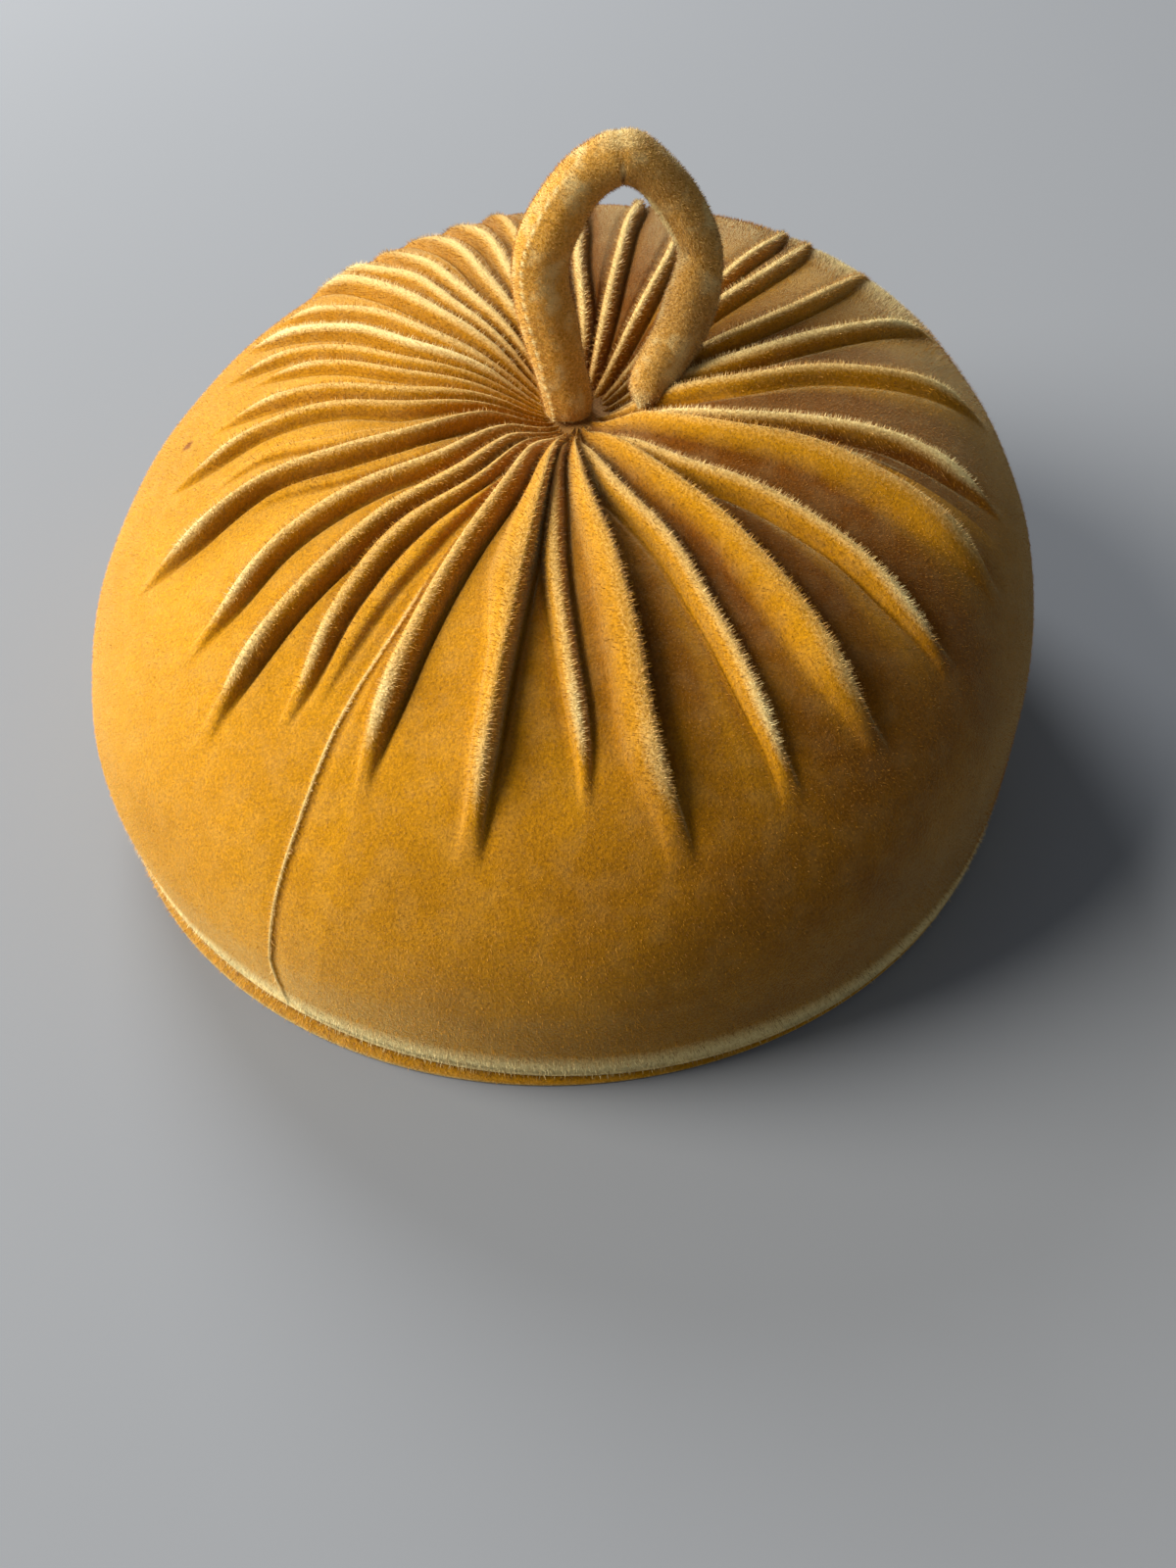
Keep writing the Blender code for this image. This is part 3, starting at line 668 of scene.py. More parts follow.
def ripple(points):
    """Soft waves of the plain cloth, as a height for each point."""
    x, y, z = np.moveaxis(points / MM, -1, 0)
    wave = np.sin(x / 9.1 + 0.7 * np.sin(z / 13)) * np.sin(y / 11.3 + 0.9 * np.sin(x / 17))
    wave += 0.6 * np.sin(z / 7.3 + y / 19) * np.sin(x / 6.1 - y / 14.7)
    return wave * 0.6


def mesh_object(name, points, faces, materials, attributes=None, second_from=None):
    """A smooth mesh with a number or vector per point for each attribute.

    The faces from second_from on take the second material.
    """
    mesh = bpy.data.meshes.new(name)
    mesh.from_pydata(np.asarray(points).tolist(), [], faces)
    for material in materials:
        mesh.materials.append(material)
    if second_from is not None:
        mesh.polygons.foreach_set(
            "material_index", [int(index >= second_from) for index in range(len(faces))])
    for key, values in (attributes or {}).items():
        values = np.asarray(values, np.float32)
        if values.ndim == 2:
            layer = mesh.attributes.new(key, "FLOAT_VECTOR", "POINT")
            layer.data.foreach_set("vector", values.ravel())
        else:
            layer = mesh.attributes.new(key, "FLOAT", "POINT")
            layer.data.foreach_set("value", values)
    mesh.shade_smooth()
    obj = bpy.data.objects.new(name, mesh)
    bpy.context.scene.collection.objects.link(obj)
    return obj


def strips(rows, columns, first=0):
    """Quads between neighbouring rings, each ring closed, facing out where rows go down."""
    faces = []
    for row in range(rows - 1):
        upper = first + row * columns
        lower = upper + columns
        for column in range(columns):
            ahead = (column + 1) % columns
            faces.append((upper + column, lower + column, lower + ahead, upper + ahead))
    return faces


Ring = namedtuple("Ring", "places rubbed deep lay")


def dome_rings(radii):
    """Rings of the pleated dome from the gather out, and the last one's azimuths and heights."""
    settings = bpy.context.scene.hat_crown
    azimuth, height, rubbed, sideways, deep = all_columns(radii)
    radius = np.broadcast_to(radii[:, None], azimuth.shape)
    base = dome_points(azimuth, radius)
    calm = smooth((radius - RIPPLE_FROM) / RIPPLE_OVER)
    height = height + settings.ripple * ripple(base) * calm
    places = base + dome_normals(azimuth, radius) * height[..., None]
    outwards = unit(np.gradient(places, axis=0))
    sideways = sideways[..., None]
    lay = around(azimuth) * sideways * LAY_SIDEWAYS + outwards * (1 - np.abs(sideways))
    rings = [Ring(*values) for values in zip(places, rubbed, deep, lay)]
    return rings, azimuth[-1], height[-1]


def wall_rings(edge, height, rubbed):
    """Rings of the upright wall: the dome's last heights carried down, with painted sheen paling it to
    the hem.
    """
    rings = []
    for step in range(1, WALL_ROWS + 1):
        share = step / WALL_ROWS
        wall = wall_points(edge, share, 0.0, HEM_ROUND)
        lift = height * (1 - 0.5 * share)
        near_hem = smooth(1 - (wall[:, 2] - edge_height(edge) - HEM_ROUND) / HEM_PALE_ABOVE)
        # Painted shade by azimuth on the wall, fading out where painted sheen pales it towards the hem
        rings.append(Ring(
            wall + unit(wall * (1, 1, 0)) * lift[:, None],
            np.maximum(rubbed, HEM_PALE * near_hem**HEM_PALE_FADE),
            shade_by_azimuth(edge) * (1 - near_hem),
            WALL_LAY_ASIDE * around(edge) + (0.0, 0.0, -1.0)))
    return rings


def hem_rings(edge):
    """The turned lower edge: half a round from the outer face to the inner one."""
    base = wall_points(edge, 1.0, CROWN_WALL / 2, HEM_ROUND)
    out = unit(base * (1, 1, 0))
    rings = []
    for step in range(HEM_ROWS):
        turn = pi * step / (HEM_ROWS - 1)
        side = CROWN_WALL / 2 * cos(turn) + HEM_BULGE * max(0.0, sin(2 * turn))
        # Painted sheen on the outer round of the edge, and painted shade growing as it turns under
        rings.append(Ring(
            base + out * side - np.array((0, 0, HEM_ROUND * sin(turn))),
            np.full(len(edge), HEM_EDGE_PALE * max(0.0, cos(1.2 * turn))),
            np.full(len(edge), min(1.0, 2 * turn / pi)),
            np.broadcast_to((0.0, 0.0, -1.0), base.shape)))
    return rings


def inside_rows(edge):
    """The smooth inside, from the turned edge up to the roof of the hollow."""
    rows = []
    for step in range(1, INSIDE_WALL_ROWS + 1):
        rows.append(wall_points(edge, 1 - step / INSIDE_WALL_ROWS, CROWN_WALL))
    for step in range(1, INSIDE_DOME_ROWS + 1):
        up = pi / 2 * step / (INSIDE_DOME_ROWS + INSIDE_ROOF_SHARE)
        rows.append(dome_points(edge, (BELLY_RADIUS - CROWN_WALL) * cos(up), CROWN_WALL))
    return rows


def ring_values(rings, item, total):
    """One value of all rings in the points' order, with 0 for the points of the inside."""
    values = np.concatenate([getattr(ring, item) for ring in rings])
    return np.concatenate([values, np.zeros((total - len(values),) + values.shape[1:])])


def build_crown(velvet, back):
    """Pleated outside, turned edge and smooth inside, as one closed shell of cloth."""
    rings, edge, height = dome_rings(row_radii())
    columns = len(edge)
    dome_count = len(rings) * columns
    rings += wall_rings(edge, height, rings[-1].rubbed) + hem_rings(edge)
    shown = len(rings) * columns
    rows = [ring.places for ring in rings] + inside_rows(edge)
    gather = len(rows) * columns
    middle = rows[0].mean(axis=0) - (0, 0, GATHER_SUNK)
    roof = rows[-1].mean(axis=0)
    points = np.concatenate(rows + [[middle, roof]])

    faces = [(gather, place, (place + 1) % columns) for place in range(columns)]
    faces += strips(len(rows), columns)
    last = gather - columns
    for place in range(columns):
        faces.append((gather + 1, last + (place + 1) % columns, last + place))

    rubbed = ring_values(rings, "rubbed", len(points))
    above_floor = smooth((points[:, 2] - FIBRES_ABOVE) / FIBRES_ABOVE)
    folds = np.minimum(1, FOLD_FIBRES * rubbed)
    folds[dome_count:] *= HEM_LOOSE
    folds *= above_floor
    plain = np.zeros(len(points))
    plain[:shown] = 1 - FOLD_NAP_LOSS * folds[:shown]
    plain *= above_floor
    marks = {"rubbed": rubbed, "folds": folds, "plain": plain,
             "deep": ring_values(rings, "deep", len(points)),
             "lay": ring_values(rings, "lay", len(points))}
    return mesh_object("crown_velvet", points, faces, [velvet, back], marks, shown)


def band_section(azimuth):
    """The band's section here as (out, up) points, from the bottom outer corner round."""
    outside = plan_radius(azimuth) - BAND_INSET
    top = edge_height(azimuth) - GAP
    turn = radians(azimuth)
    opening = ((cos(turn) / OPENING_HALF_X) ** 2 + (sin(turn) / OPENING_HALF_Y) ** 2) ** -0.5
    collar = opening + COLLAR_WALL
    section = [(outside - BAND_ROUND, 0.0)]
    for step in range(1, BAND_FACE_STEPS):
        share = step / BAND_FACE_STEPS
        out = outside - BAND_LEAN * share + BAND_BULGE * sin(pi * share)
        section.append((out, top * share))
    section += [
        (outside - BAND_LEAN, top),
        (outside - BAND_LEG, top),
        (outside - BAND_LEG - 0.0004, BAND_FLAT + BAND_ROUND),
        (outside - BAND_LEG - BAND_ROUND, BAND_FLAT),
        (0.5 * (outside + collar), BAND_FLAT),
        (collar + BAND_ROUND, BAND_FLAT),
        (collar + 0.3 * BAND_ROUND, BAND_FLAT + 0.4 * BAND_ROUND),
        (collar, BAND_FLAT + BAND_ROUND),
        (collar, 0.5 * COLLAR_TOP),
        (collar, COLLAR_TOP - 0.5 * COLLAR_WALL),
    ]
    for step in range(1, 6):
        turn = pi * step / 6
        middle = opening + COLLAR_WALL / 2
        section.append((middle + COLLAR_WALL / 2 * cos(turn),
                        COLLAR_TOP - COLLAR_WALL / 2 + COLLAR_WALL / 2 * sin(turn)))
    section += [
        (opening, COLLAR_TOP - 0.5 * COLLAR_WALL),
        (opening, 0.5 * COLLAR_TOP),
        (opening, BAND_ROUND),
        (opening + 0.3 * BAND_ROUND, 0.3 * BAND_ROUND),
        (opening + BAND_ROUND, 0.0),
        (0.5 * (outside + opening), 0.0),
    ]
    return section


def build_under_band(velvet):
    """The band: it shows under the crown's edge, lies flat below and turns up at the head."""
    azimuths = [360 * step / BAND_COLUMNS for step in range(BAND_COLUMNS)]
    sections = [band_section(azimuth) for azimuth in azimuths]
    count = len(sections[0])
    points = []
    for place in range(count):
        for azimuth, section in zip(azimuths, sections):
            out, up = section[place]
            turn = radians(azimuth)
            points.append((out * cos(turn), out * sin(turn), up))
    faces = [face[::-1] for face in strips(count, BAND_COLUMNS)]
    last = (count - 1) * BAND_COLUMNS
    for column in range(BAND_COLUMNS):
        ahead = (column + 1) % BAND_COLUMNS
        faces.append((last + column, last + ahead, ahead, column))
    points = np.array(points)
    azimuth = np.degrees(np.arctan2(points[:, 1], points[:, 0]))
    from_rim = plan_radius(azimuth) - BAND_INSET - np.linalg.norm(points[:, :2], axis=1)
    shows = (from_rim < BAND_LEAN + 0.0002) * 1.0
    up = points[:, 2] / edge_height(azimuth)
    above_floor = smooth((points[:, 2] - FIBRES_ABOVE) / FIBRES_ABOVE)
    # Painted shade: the shown face darkens towards its top, under the crown's edge; it is paler
    # towards its bottom
    marks = {"rubbed": BAND_WORN * shows * smooth(1 - up * 1.6),
             "folds": BAND_LOOSE * shows * above_floor,
             "deep": shows * (0.1 + 0.9 * smooth((up - 0.5) / 0.35)),
             "lay": unit(points * (1, 1, 0)) * 0.3 + (0, 0, -1)}
    return mesh_object("band_velvet", points, faces, [velvet], marks)


def smooth_line(rows, steps):
    """Rows read along a smooth curve through them, steps to each stretch."""
    rows = np.asarray(rows, float)
    at = np.linspace(0, len(rows) - 1, steps * (len(rows) - 1) + 1)
    places = np.arange(len(rows))
    return np.stack([through(at, places, rows[:, item]) for item in range(4)], axis=1)


def stem_ring(index, thick, out, inwards):
    """Radius, pale pile (wear and a painted highlight) and seam of one ring of the stem, for each
    side.
    """
    settings = bpy.context.scene.hat_stem
    turns = stem_turns()
    row = index / STEM_RINGS_PER_STRETCH
    seam = bell(np.angle(np.exp(1j * (turns - STEM_SEAM_TURN))), 0, STEM_SEAM_HALF_TURN)
    seam = seam * smooth((STEM_SEAM_ENDS_AT - row) / 0.5)
    stitches = 0.6 + 0.4 * sin(index * 2.1)
    lumps = np.sin(row * 1.3 + 2 * np.sin(turns)) * np.cos(turns * 2 + row)
    lumps += 0.4 * np.sin(row * 2.3 + turns) * np.sin(turns * 3 - row * 1.7)
    inner = smooth((inwards - 0.1) / 0.7)
    pinch = bell(row, STEM_PINCH_AT, STEM_PINCH_REACH)
    swell = bell(row, STEM_PINCH_AT, STEM_SWELL_REACH)
    bend = bell(row, STEM_BEND_AT, STEM_BEND_REACH)
    flap = bell(out[:, 1], -STEM_FLAP_FRONT, STEM_FLAP_WIDE) * (inwards > 0)
    flap = flap * bell(row, STEM_FLAP_AT, STEM_FLAP_REACH)

    radius = thick / 2 + settings.seam_height * seam * stitches + settings.lump_height * lumps
    pinched = pinch * (STEM_PINCH_SHARE + STEM_PINCH_INNER_SHARE * inner)
    radius = radius * (1 + STEM_SWELL_SHARE * swell - pinched)
    radius = radius * (1 - STEM_BEND_SHARE * inner * bend)
    radius = radius + STEM_FLAP_HEIGHT * settings.seam_height * flap

    # Painted highlight: the upward-facing top of the pinch is paler
    top = bell(row, STEM_PINCH_AT, STEM_TOP_REACH) * smooth(out[:, 2] * 2 - 0.6)
    rubbed = reduce(np.maximum, (
        STEM_WORN,
        STEM_SEAM_WORN * seam * stitches,
        STEM_SEAM_WORN * flap,
        STEM_TOP_HIGHLIGHT * top,
        pinch * (0.6 + 0.5 * np.cos(turns * 3)),
        STEM_FOOT_WORN * smooth(1 - row / STEM_FOOT_REACH),
        STEM_TIP_WORN * smooth(1 + row - len(STEM))))
    return radius, rubbed, seam


def stem_turns():
    """Angles round the stem's tube, one for each of its sides."""
    return 2 * pi * np.arange(STEM_SIDES) / STEM_SIDES


def build_stem_loop(velvet):
    """One stuffed tube of cloth: its foot on the gather, its tip laid down beside it."""
    settings = bpy.context.scene.hat_stem
    foot = (STEM[0].x, STEM[0].y, STEM_LOW.z / MM, STEM_FOOT_THICK)
    line = smooth_line((foot,) + STEM, STEM_RINGS_PER_STRETCH)
    middle = line[:, :3] * MM
    thick = line[:, 3] * MM * settings.fullness
    ahead = unit(np.gradient(middle, axis=0))
    hollow = np.gradient(ahead, axis=0)
    side = unit(np.cross(ahead[0], (0, 1, 0)))
    turns = stem_turns()
    points = []
    marks = []
    lays = []
    for index in range(len(line)):
        side = unit(side - ahead[index] * np.dot(side, ahead[index]))
        other = np.cross(ahead[index], side)
        out = np.cos(turns)[:, None] * side + np.sin(turns)[:, None] * other
        inwards = out @ unit(hollow[index] + (0, 0, 1e-9))
        radius, rubbed, seam = stem_ring(index, thick[index], out, inwards)
        points.append(middle[index] + radius[:, None] * out)
        marks.append(rubbed)
        lays.append(ahead[index] * 0.5 + np.roll(out, STEM_SIDES // 4, axis=0) * seam[:, None])

    faces = [face[::-1] for face in strips(len(line), STEM_SIDES)]
    foot_middle = len(line) * STEM_SIDES
    tip_middle = foot_middle + 1
    last = foot_middle - STEM_SIDES
    for place in range(STEM_SIDES):
        after = (place + 1) % STEM_SIDES
        faces.append((foot_middle, after, place))
        faces.append((tip_middle, last + place, last + after))
    tip = middle[-1] + ahead[-1] * thick[-1] / 2 * STEM_TIP_ROUND
    points = np.concatenate(points + [[middle[0], tip]])
    rubbed = np.concatenate(marks + [[1.0, 1.0]])
    # Painted shade darkens the stem towards +X, away from the key light
    marks = {"rubbed": rubbed, "folds": 0.6 + 0.4 * rubbed,
             "lay": np.concatenate(lays + [ahead[:1], ahead[-1:]]),
             "deep": STEM_SHADE * smooth(points[:, 0] / STEM_SHADE_REACH + 0.2)}
    return mesh_object("stem_velvet", points, faces, [velvet], marks)


def node(tree, kind, place, **settings):
    """A new node of this kind; settings with a capital letter set its input sockets."""
    made = tree.nodes.new(kind)
    made.location = place
    for key, value in settings.items():
        if key[0].isupper():
            made.inputs[key.replace("_", " ")].default_value = value
        else:
            setattr(made, key, value)
    return made


def pile_tree():
    """Geometry nodes that stand short tapered fibres on a mesh, leaning along its lay."""
    tree = bpy.data.node_groups.new("velvet_pile", "GeometryNodeTree")
    sockets = tree.interface
    sockets.new_socket("Geometry", in_out="OUTPUT", socket_type="NodeSocketGeometry")
    sockets.new_socket("Geometry", in_out="INPUT", socket_type="NodeSocketGeometry")
    for name in ("Density", "Length", "Width", "Tilt", "Unevenness"):
        sockets.new_socket(name, in_out="INPUT", socket_type="NodeSocketFloat")
    sockets.new_socket("Seed", in_out="INPUT", socket_type="NodeSocketInt")
    sockets.new_socket("Where", in_out="INPUT", socket_type="NodeSocketString")
    sockets.new_socket("Pile", in_out="INPUT", socket_type="NodeSocketMaterial")
    link = tree.links.new
    given = node(tree, "NodeGroupInput", (-1200, 0)).outputs

    share = node(tree, "GeometryNodeInputNamedAttribute", (-1200, 300))
    link(given["Where"], share.inputs["Name"])
    density = node(tree, "ShaderNodeMath", (-1000, 300), operation="MULTIPLY")
    link(share.outputs["Attribute"], density.inputs[0])
    link(given["Density"], density.inputs[1])
    feet = node(tree, "GeometryNodeDistributePointsOnFaces", (-800, 200))
    link(given["Geometry"], feet.inputs["Mesh"])
    link(density.outputs[0], feet.inputs["Density"])
    link(given["Seed"], feet.inputs["Seed"])

    lay = node(tree, "GeometryNodeInputNamedAttribute", (-1200, -300),
               data_type="FLOAT_VECTOR", Name="lay")
    leaned = node(tree, "ShaderNodeVectorMath", (-800, -200), operation="SCALE")
    link(lay.outputs["Attribute"], leaned.inputs[0])
    link(given["Tilt"], leaned.inputs["Scale"])
    stray = node(tree, "FunctionNodeRandomValue", (-1000, -500), data_type="FLOAT_VECTOR")
    stray.inputs["Min"].default_value = (-1, -1, -1)
    link(given["Seed"], stray.inputs["Seed"])
    strayed = node(tree, "ShaderNodeVectorMath", (-800, -450), operation="SCALE")
    link(stray.outputs["Value"], strayed.inputs[0])
    link(given["Unevenness"], strayed.inputs["Scale"])
    upright = node(tree, "ShaderNodeVectorMath", (-600, -100), operation="ADD")
    link(feet.outputs["Normal"], upright.inputs[0])
    link(leaned.outputs[0], upright.inputs[1])
    direction = node(tree, "ShaderNodeVectorMath", (-400, -200), operation="ADD")
    link(upright.outputs[0], direction.inputs[0])
    link(strayed.outputs[0], direction.inputs[1])
    along = node(tree, "FunctionNodeAlignRotationToVector", (-200, -200), axis="X")
    link(direction.outputs[0], along.inputs["Vector"])
    flat = node(tree, "FunctionNodeAlignRotationToVector", (0, -200), axis="Z",
                pivot_axis="X")
    link(along.outputs["Rotation"], flat.inputs["Rotation"])
    link(feet.outputs["Normal"], flat.inputs["Vector"])

    uneven = node(tree, "FunctionNodeRandomValue", (-400, -500), Min=0.7, Max=1.25, ID=3)
    length = node(tree, "ShaderNodeMath", (-200, -450), operation="MULTIPLY")
    link(given["Length"], length.inputs[0])
    link(uneven.outputs[1], length.inputs[1])
    size = node(tree, "ShaderNodeCombineXYZ", (0, -450), Z=1.0)
    link(length.outputs[0], size.inputs["X"])
    link(given["Width"], size.inputs["Y"])

    blade = node(tree, "GeometryNodeMeshCircle", (-400, 450), fill_type="NGON", Vertices=3)
    unit_blade = node(tree, "GeometryNodeTransform", (-200, 450), Translation=(1 / 3, 0, 0),
                      Scale=(2 / 3, 3**-0.5, 1))
    link(blade.outputs["Mesh"], unit_blade.inputs["Geometry"])
    stand = node(tree, "GeometryNodeInstanceOnPoints", (200, 200))
    link(feet.outputs["Points"], stand.inputs["Points"])
    link(unit_blade.outputs["Geometry"], stand.inputs["Instance"])
    link(flat.outputs["Rotation"], stand.inputs["Rotation"])
    link(size.outputs[0], stand.inputs["Scale"])
    chance = node(tree, "FunctionNodeRandomValue", (200, -100))
    link(given["Seed"], chance.inputs["Seed"])
    shade = node(tree, "GeometryNodeStoreNamedAttribute", (400, 200), domain="INSTANCE",
                 Name="shade")
    link(stand.outputs["Instances"], shade.inputs["Geometry"])
    link(chance.outputs[1], shade.inputs["Value"])
    real = node(tree, "GeometryNodeRealizeInstances", (600, 200))
    link(shade.outputs["Geometry"], real.inputs["Geometry"])
    finish = node(tree, "GeometryNodeSetMaterial", (800, 200))
    link(real.outputs["Geometry"], finish.inputs["Geometry"])
    link(given["Pile"], finish.inputs["Material"])
    made = node(tree, "NodeGroupOutput", (1000, 200))
    link(finish.outputs["Geometry"], made.inputs["Geometry"])
    return tree


def stand_pile(cloth, name, material, where="folds", density=1.0, length=1.0, width=1.0):
    """Fibres of the pile on a finished piece of cloth, as a plain mesh of their own."""
    settings = bpy.context.scene.hat_pile
    tree = bpy.data.node_groups.get("velvet_pile") or pile_tree()
    modifier = cloth.modifiers.new("pile", "NODES")
    modifier.node_group = tree
    values = {
        "Density": settings.thickness / MM**2 * density,
        "Length": settings.length * length,
        "Width": settings.width * width,
        "Tilt": settings.tilt,
        "Unevenness": settings.unevenness,
        "Seed": settings.seed,
        "Where": where,
        "Pile": material,
    }
    for item in tree.interface.items_tree:
        if item.in_out == "INPUT" and item.name in values:
            modifier[item.identifier] = values[item.name]
    graph = bpy.context.evaluated_depsgraph_get()
    mesh = bpy.data.meshes.new_from_object(cloth.evaluated_get(graph), depsgraph=graph)
    cloth.modifiers.remove(modifier)
    mesh.name = name
    obj = bpy.data.objects.new(name, mesh)
    bpy.context.scene.collection.objects.link(obj)
    return obj


def place_on_hat(obj, stands_for=None):
    """Attach a finished piece to the root body, and hide the solid that it stands for."""
    if stands_for:
        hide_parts(stands_for)
    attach(obj, "root")


def new_finish(name, **sockets):
    """A new material, its tree and its shader, with these of the shader's sockets set."""
    material = bpy.data.materials.new(name)
    material.use_nodes = True
    shader = material.node_tree.nodes["Principled BSDF"]
    for key, value in sockets.items():
        shader.inputs[key.replace("_", " ")].default_value = value
    return material, material.node_tree, shader


def spot(tree, place, centre, radius, down):
    """A number that is 1 within a small uneven place on the cloth and 0 away from it."""
    away = node(tree, "ShaderNodeVectorMath", (-1050, down), operation="DISTANCE")
    away.inputs[1].default_value = centre
    tree.links.new(place.outputs["Object"], away.inputs[0])
    ragged = node(tree, "ShaderNodeTexNoise", (-1050, down - 200), Scale=0.9 / radius,
                  Detail=3.0)
    tree.links.new(place.outputs["Object"], ragged.inputs["Vector"])
    uneven = node(tree, "ShaderNodeMath", (-820, down - 200), operation="MULTIPLY_ADD")
    uneven.inputs[1].default_value = 1.3 * radius
    tree.links.new(ragged.outputs["Fac"], uneven.inputs[0])
    tree.links.new(away.outputs["Value"], uneven.inputs[2])
    inside = node(tree, "ShaderNodeMapRange", (-820, down), From_Min=1.5 * radius,
                  From_Max=1.0 * radius, To_Min=0.0, To_Max=1.0)
    tree.links.new(uneven.outputs["Value"], inside.inputs["Value"])
    return inside.outputs["Result"]


def marked(tree, place, colour, colours):
    """The cloth's colour with the small stain and the speck of lint laid over it."""
    down = -800
    for centre, radius, mark in ((STAIN_PLACE, STAIN_RADIUS, colours.stain),
                                 (SPECK_PLACE, SPECK_RADIUS, colours.sheen_and_wear_pile)):
        over = node(tree, "ShaderNodeMix", (-100, down), data_type="RGBA")
        tree.links.new(spot(tree, place, centre, radius, down), over.inputs[0])
        tree.links.new(colour, over.inputs[6])
        over.inputs[7].default_value = (*mark, 1.0)
        colour = over.outputs[2]
        down -= 500
    return colour


def velvet_ground(tree, place, grain, colours, shade):
    """The velvet's colour: it drifts softly, is darker under painted shade, and has a fine grain."""
    link = tree.links.new
    drift = node(tree, "ShaderNodeTexNoise", (-1050, 300), Scale=38.0, Detail=4.0,
                 Roughness=0.6)
    link(place.outputs["Object"], drift.inputs["Vector"])
    drifted = node(tree, "ShaderNodeMapRange", (-820, 300), From_Min=0.35, From_Max=0.7,
                   To_Min=0.0, To_Max=0.25)
    link(drift.outputs["Fac"], drifted.inputs["Value"])
    # Painted shade that the mesh carries, with the soft colour drift added
    deep = node(tree, "ShaderNodeAttribute", (-1050, 550), attribute_name="deep")
    shade_and_drift = node(tree, "ShaderNodeMath", (-700, 550), operation="ADD", use_clamp=True)
    link(deep.outputs["Fac"], shade_and_drift.inputs[0])
    link(drifted.outputs["Result"], shade_and_drift.inputs[1])
    ground = node(tree, "ShaderNodeMix", (-600, 300), data_type="RGBA")
    ground.inputs[6].default_value = (*[shade * part for part in colours.pile], 1.0)
    ground.inputs[7].default_value = (*[shade * part for part in colours.shaded_and_dark_pile], 1.0)
    link(shade_and_drift.outputs["Value"], ground.inputs[0])
    speck = node(tree, "ShaderNodeMapRange", (-820, 0), From_Min=0.35, From_Max=0.7,
                 To_Min=0.66, To_Max=1.3)
    link(grain.outputs["Fac"], speck.inputs["Value"])
    grained = node(tree, "ShaderNodeMix", (-400, 250), data_type="RGBA",
                   blend_type="MULTIPLY")
    grained.inputs[0].default_value = 1.0
    link(ground.outputs[2], grained.inputs[6])
    link(speck.outputs["Result"], grained.inputs[7])
    return grained.outputs[2]


def velvet_wear(tree, place, grain, worn):
    """How pale the pile is: the painted sheen and wear that the mesh carries, and small worn patches.
    """
    link = tree.links.new
    rubbed = node(tree, "ShaderNodeAttribute", (-1050, -300), attribute_name="rubbed")
    broken = node(tree, "ShaderNodeMath", (-600, -250), operation="MULTIPLY")
    link(rubbed.outputs["Fac"], broken.inputs[0])
    link(grain.outputs["Fac"], broken.inputs[1])
    pale = node(tree, "ShaderNodeMapRange", (-400, -250), From_Min=0.14, From_Max=0.55,
                To_Min=0.0, To_Max=0.9)
    link(broken.outputs[0], pale.inputs["Value"])
    patch = node(tree, "ShaderNodeTexNoise", (-1050, -500), Scale=170.0, Detail=3.0,
                 Roughness=0.55)
    link(place.outputs["Object"], patch.inputs["Vector"])
    wear = node(tree, "ShaderNodeMapRange", (-820, -500), From_Min=0.44, From_Max=0.68,
                To_Min=0.0, To_Max=worn)
    link(patch.outputs["Fac"], wear.inputs["Value"])
    paler = node(tree, "ShaderNodeMath", (-400, -500), operation="MAXIMUM")
    link(pale.outputs["Result"], paler.inputs[0])
    link(wear.outputs["Result"], paler.inputs[1])
    return paler.outputs[0]


def velvet_material(name, colours, shade=1.0, worn=0.0):
    """Dense pile: soft colour drift, painted shade, pale folds of painted sheen and wear, fine grain
    and a grazing sheen.
    """
    material, tree, shader = new_finish(
        name, Roughness=0.95, Specular_IOR_Level=0.08, Sheen_Weight=0.55,
        Sheen_Roughness=0.40, Sheen_Tint=(*colours.sheen, 1.0))
    link = tree.links.new
    place = node(tree, "ShaderNodeTexCoord", (-1300, 0))
    grain = node(tree, "ShaderNodeTexNoise", (-1050, 0), Scale=1500.0, Detail=4.0,
                 Roughness=0.75)
    link(place.outputs["Object"], grain.inputs["Vector"])
    cloth = node(tree, "ShaderNodeMix", (-200, 200), data_type="RGBA")
    link(velvet_wear(tree, place, grain, worn), cloth.inputs[0])
    link(velvet_ground(tree, place, grain, colours, shade), cloth.inputs[6])
    cloth.inputs[7].default_value = (*colours.sheen_and_wear_pile, 1.0)
    link(marked(tree, place, cloth.outputs[2], colours), shader.inputs["Base Color"])
    bump = node(tree, "ShaderNodeBump", (-200, -300), Strength=0.7, Distance=0.0005)
    link(grain.outputs["Fac"], bump.inputs["Height"])
    link(bump.outputs["Normal"], shader.inputs["Normal"])
    return material


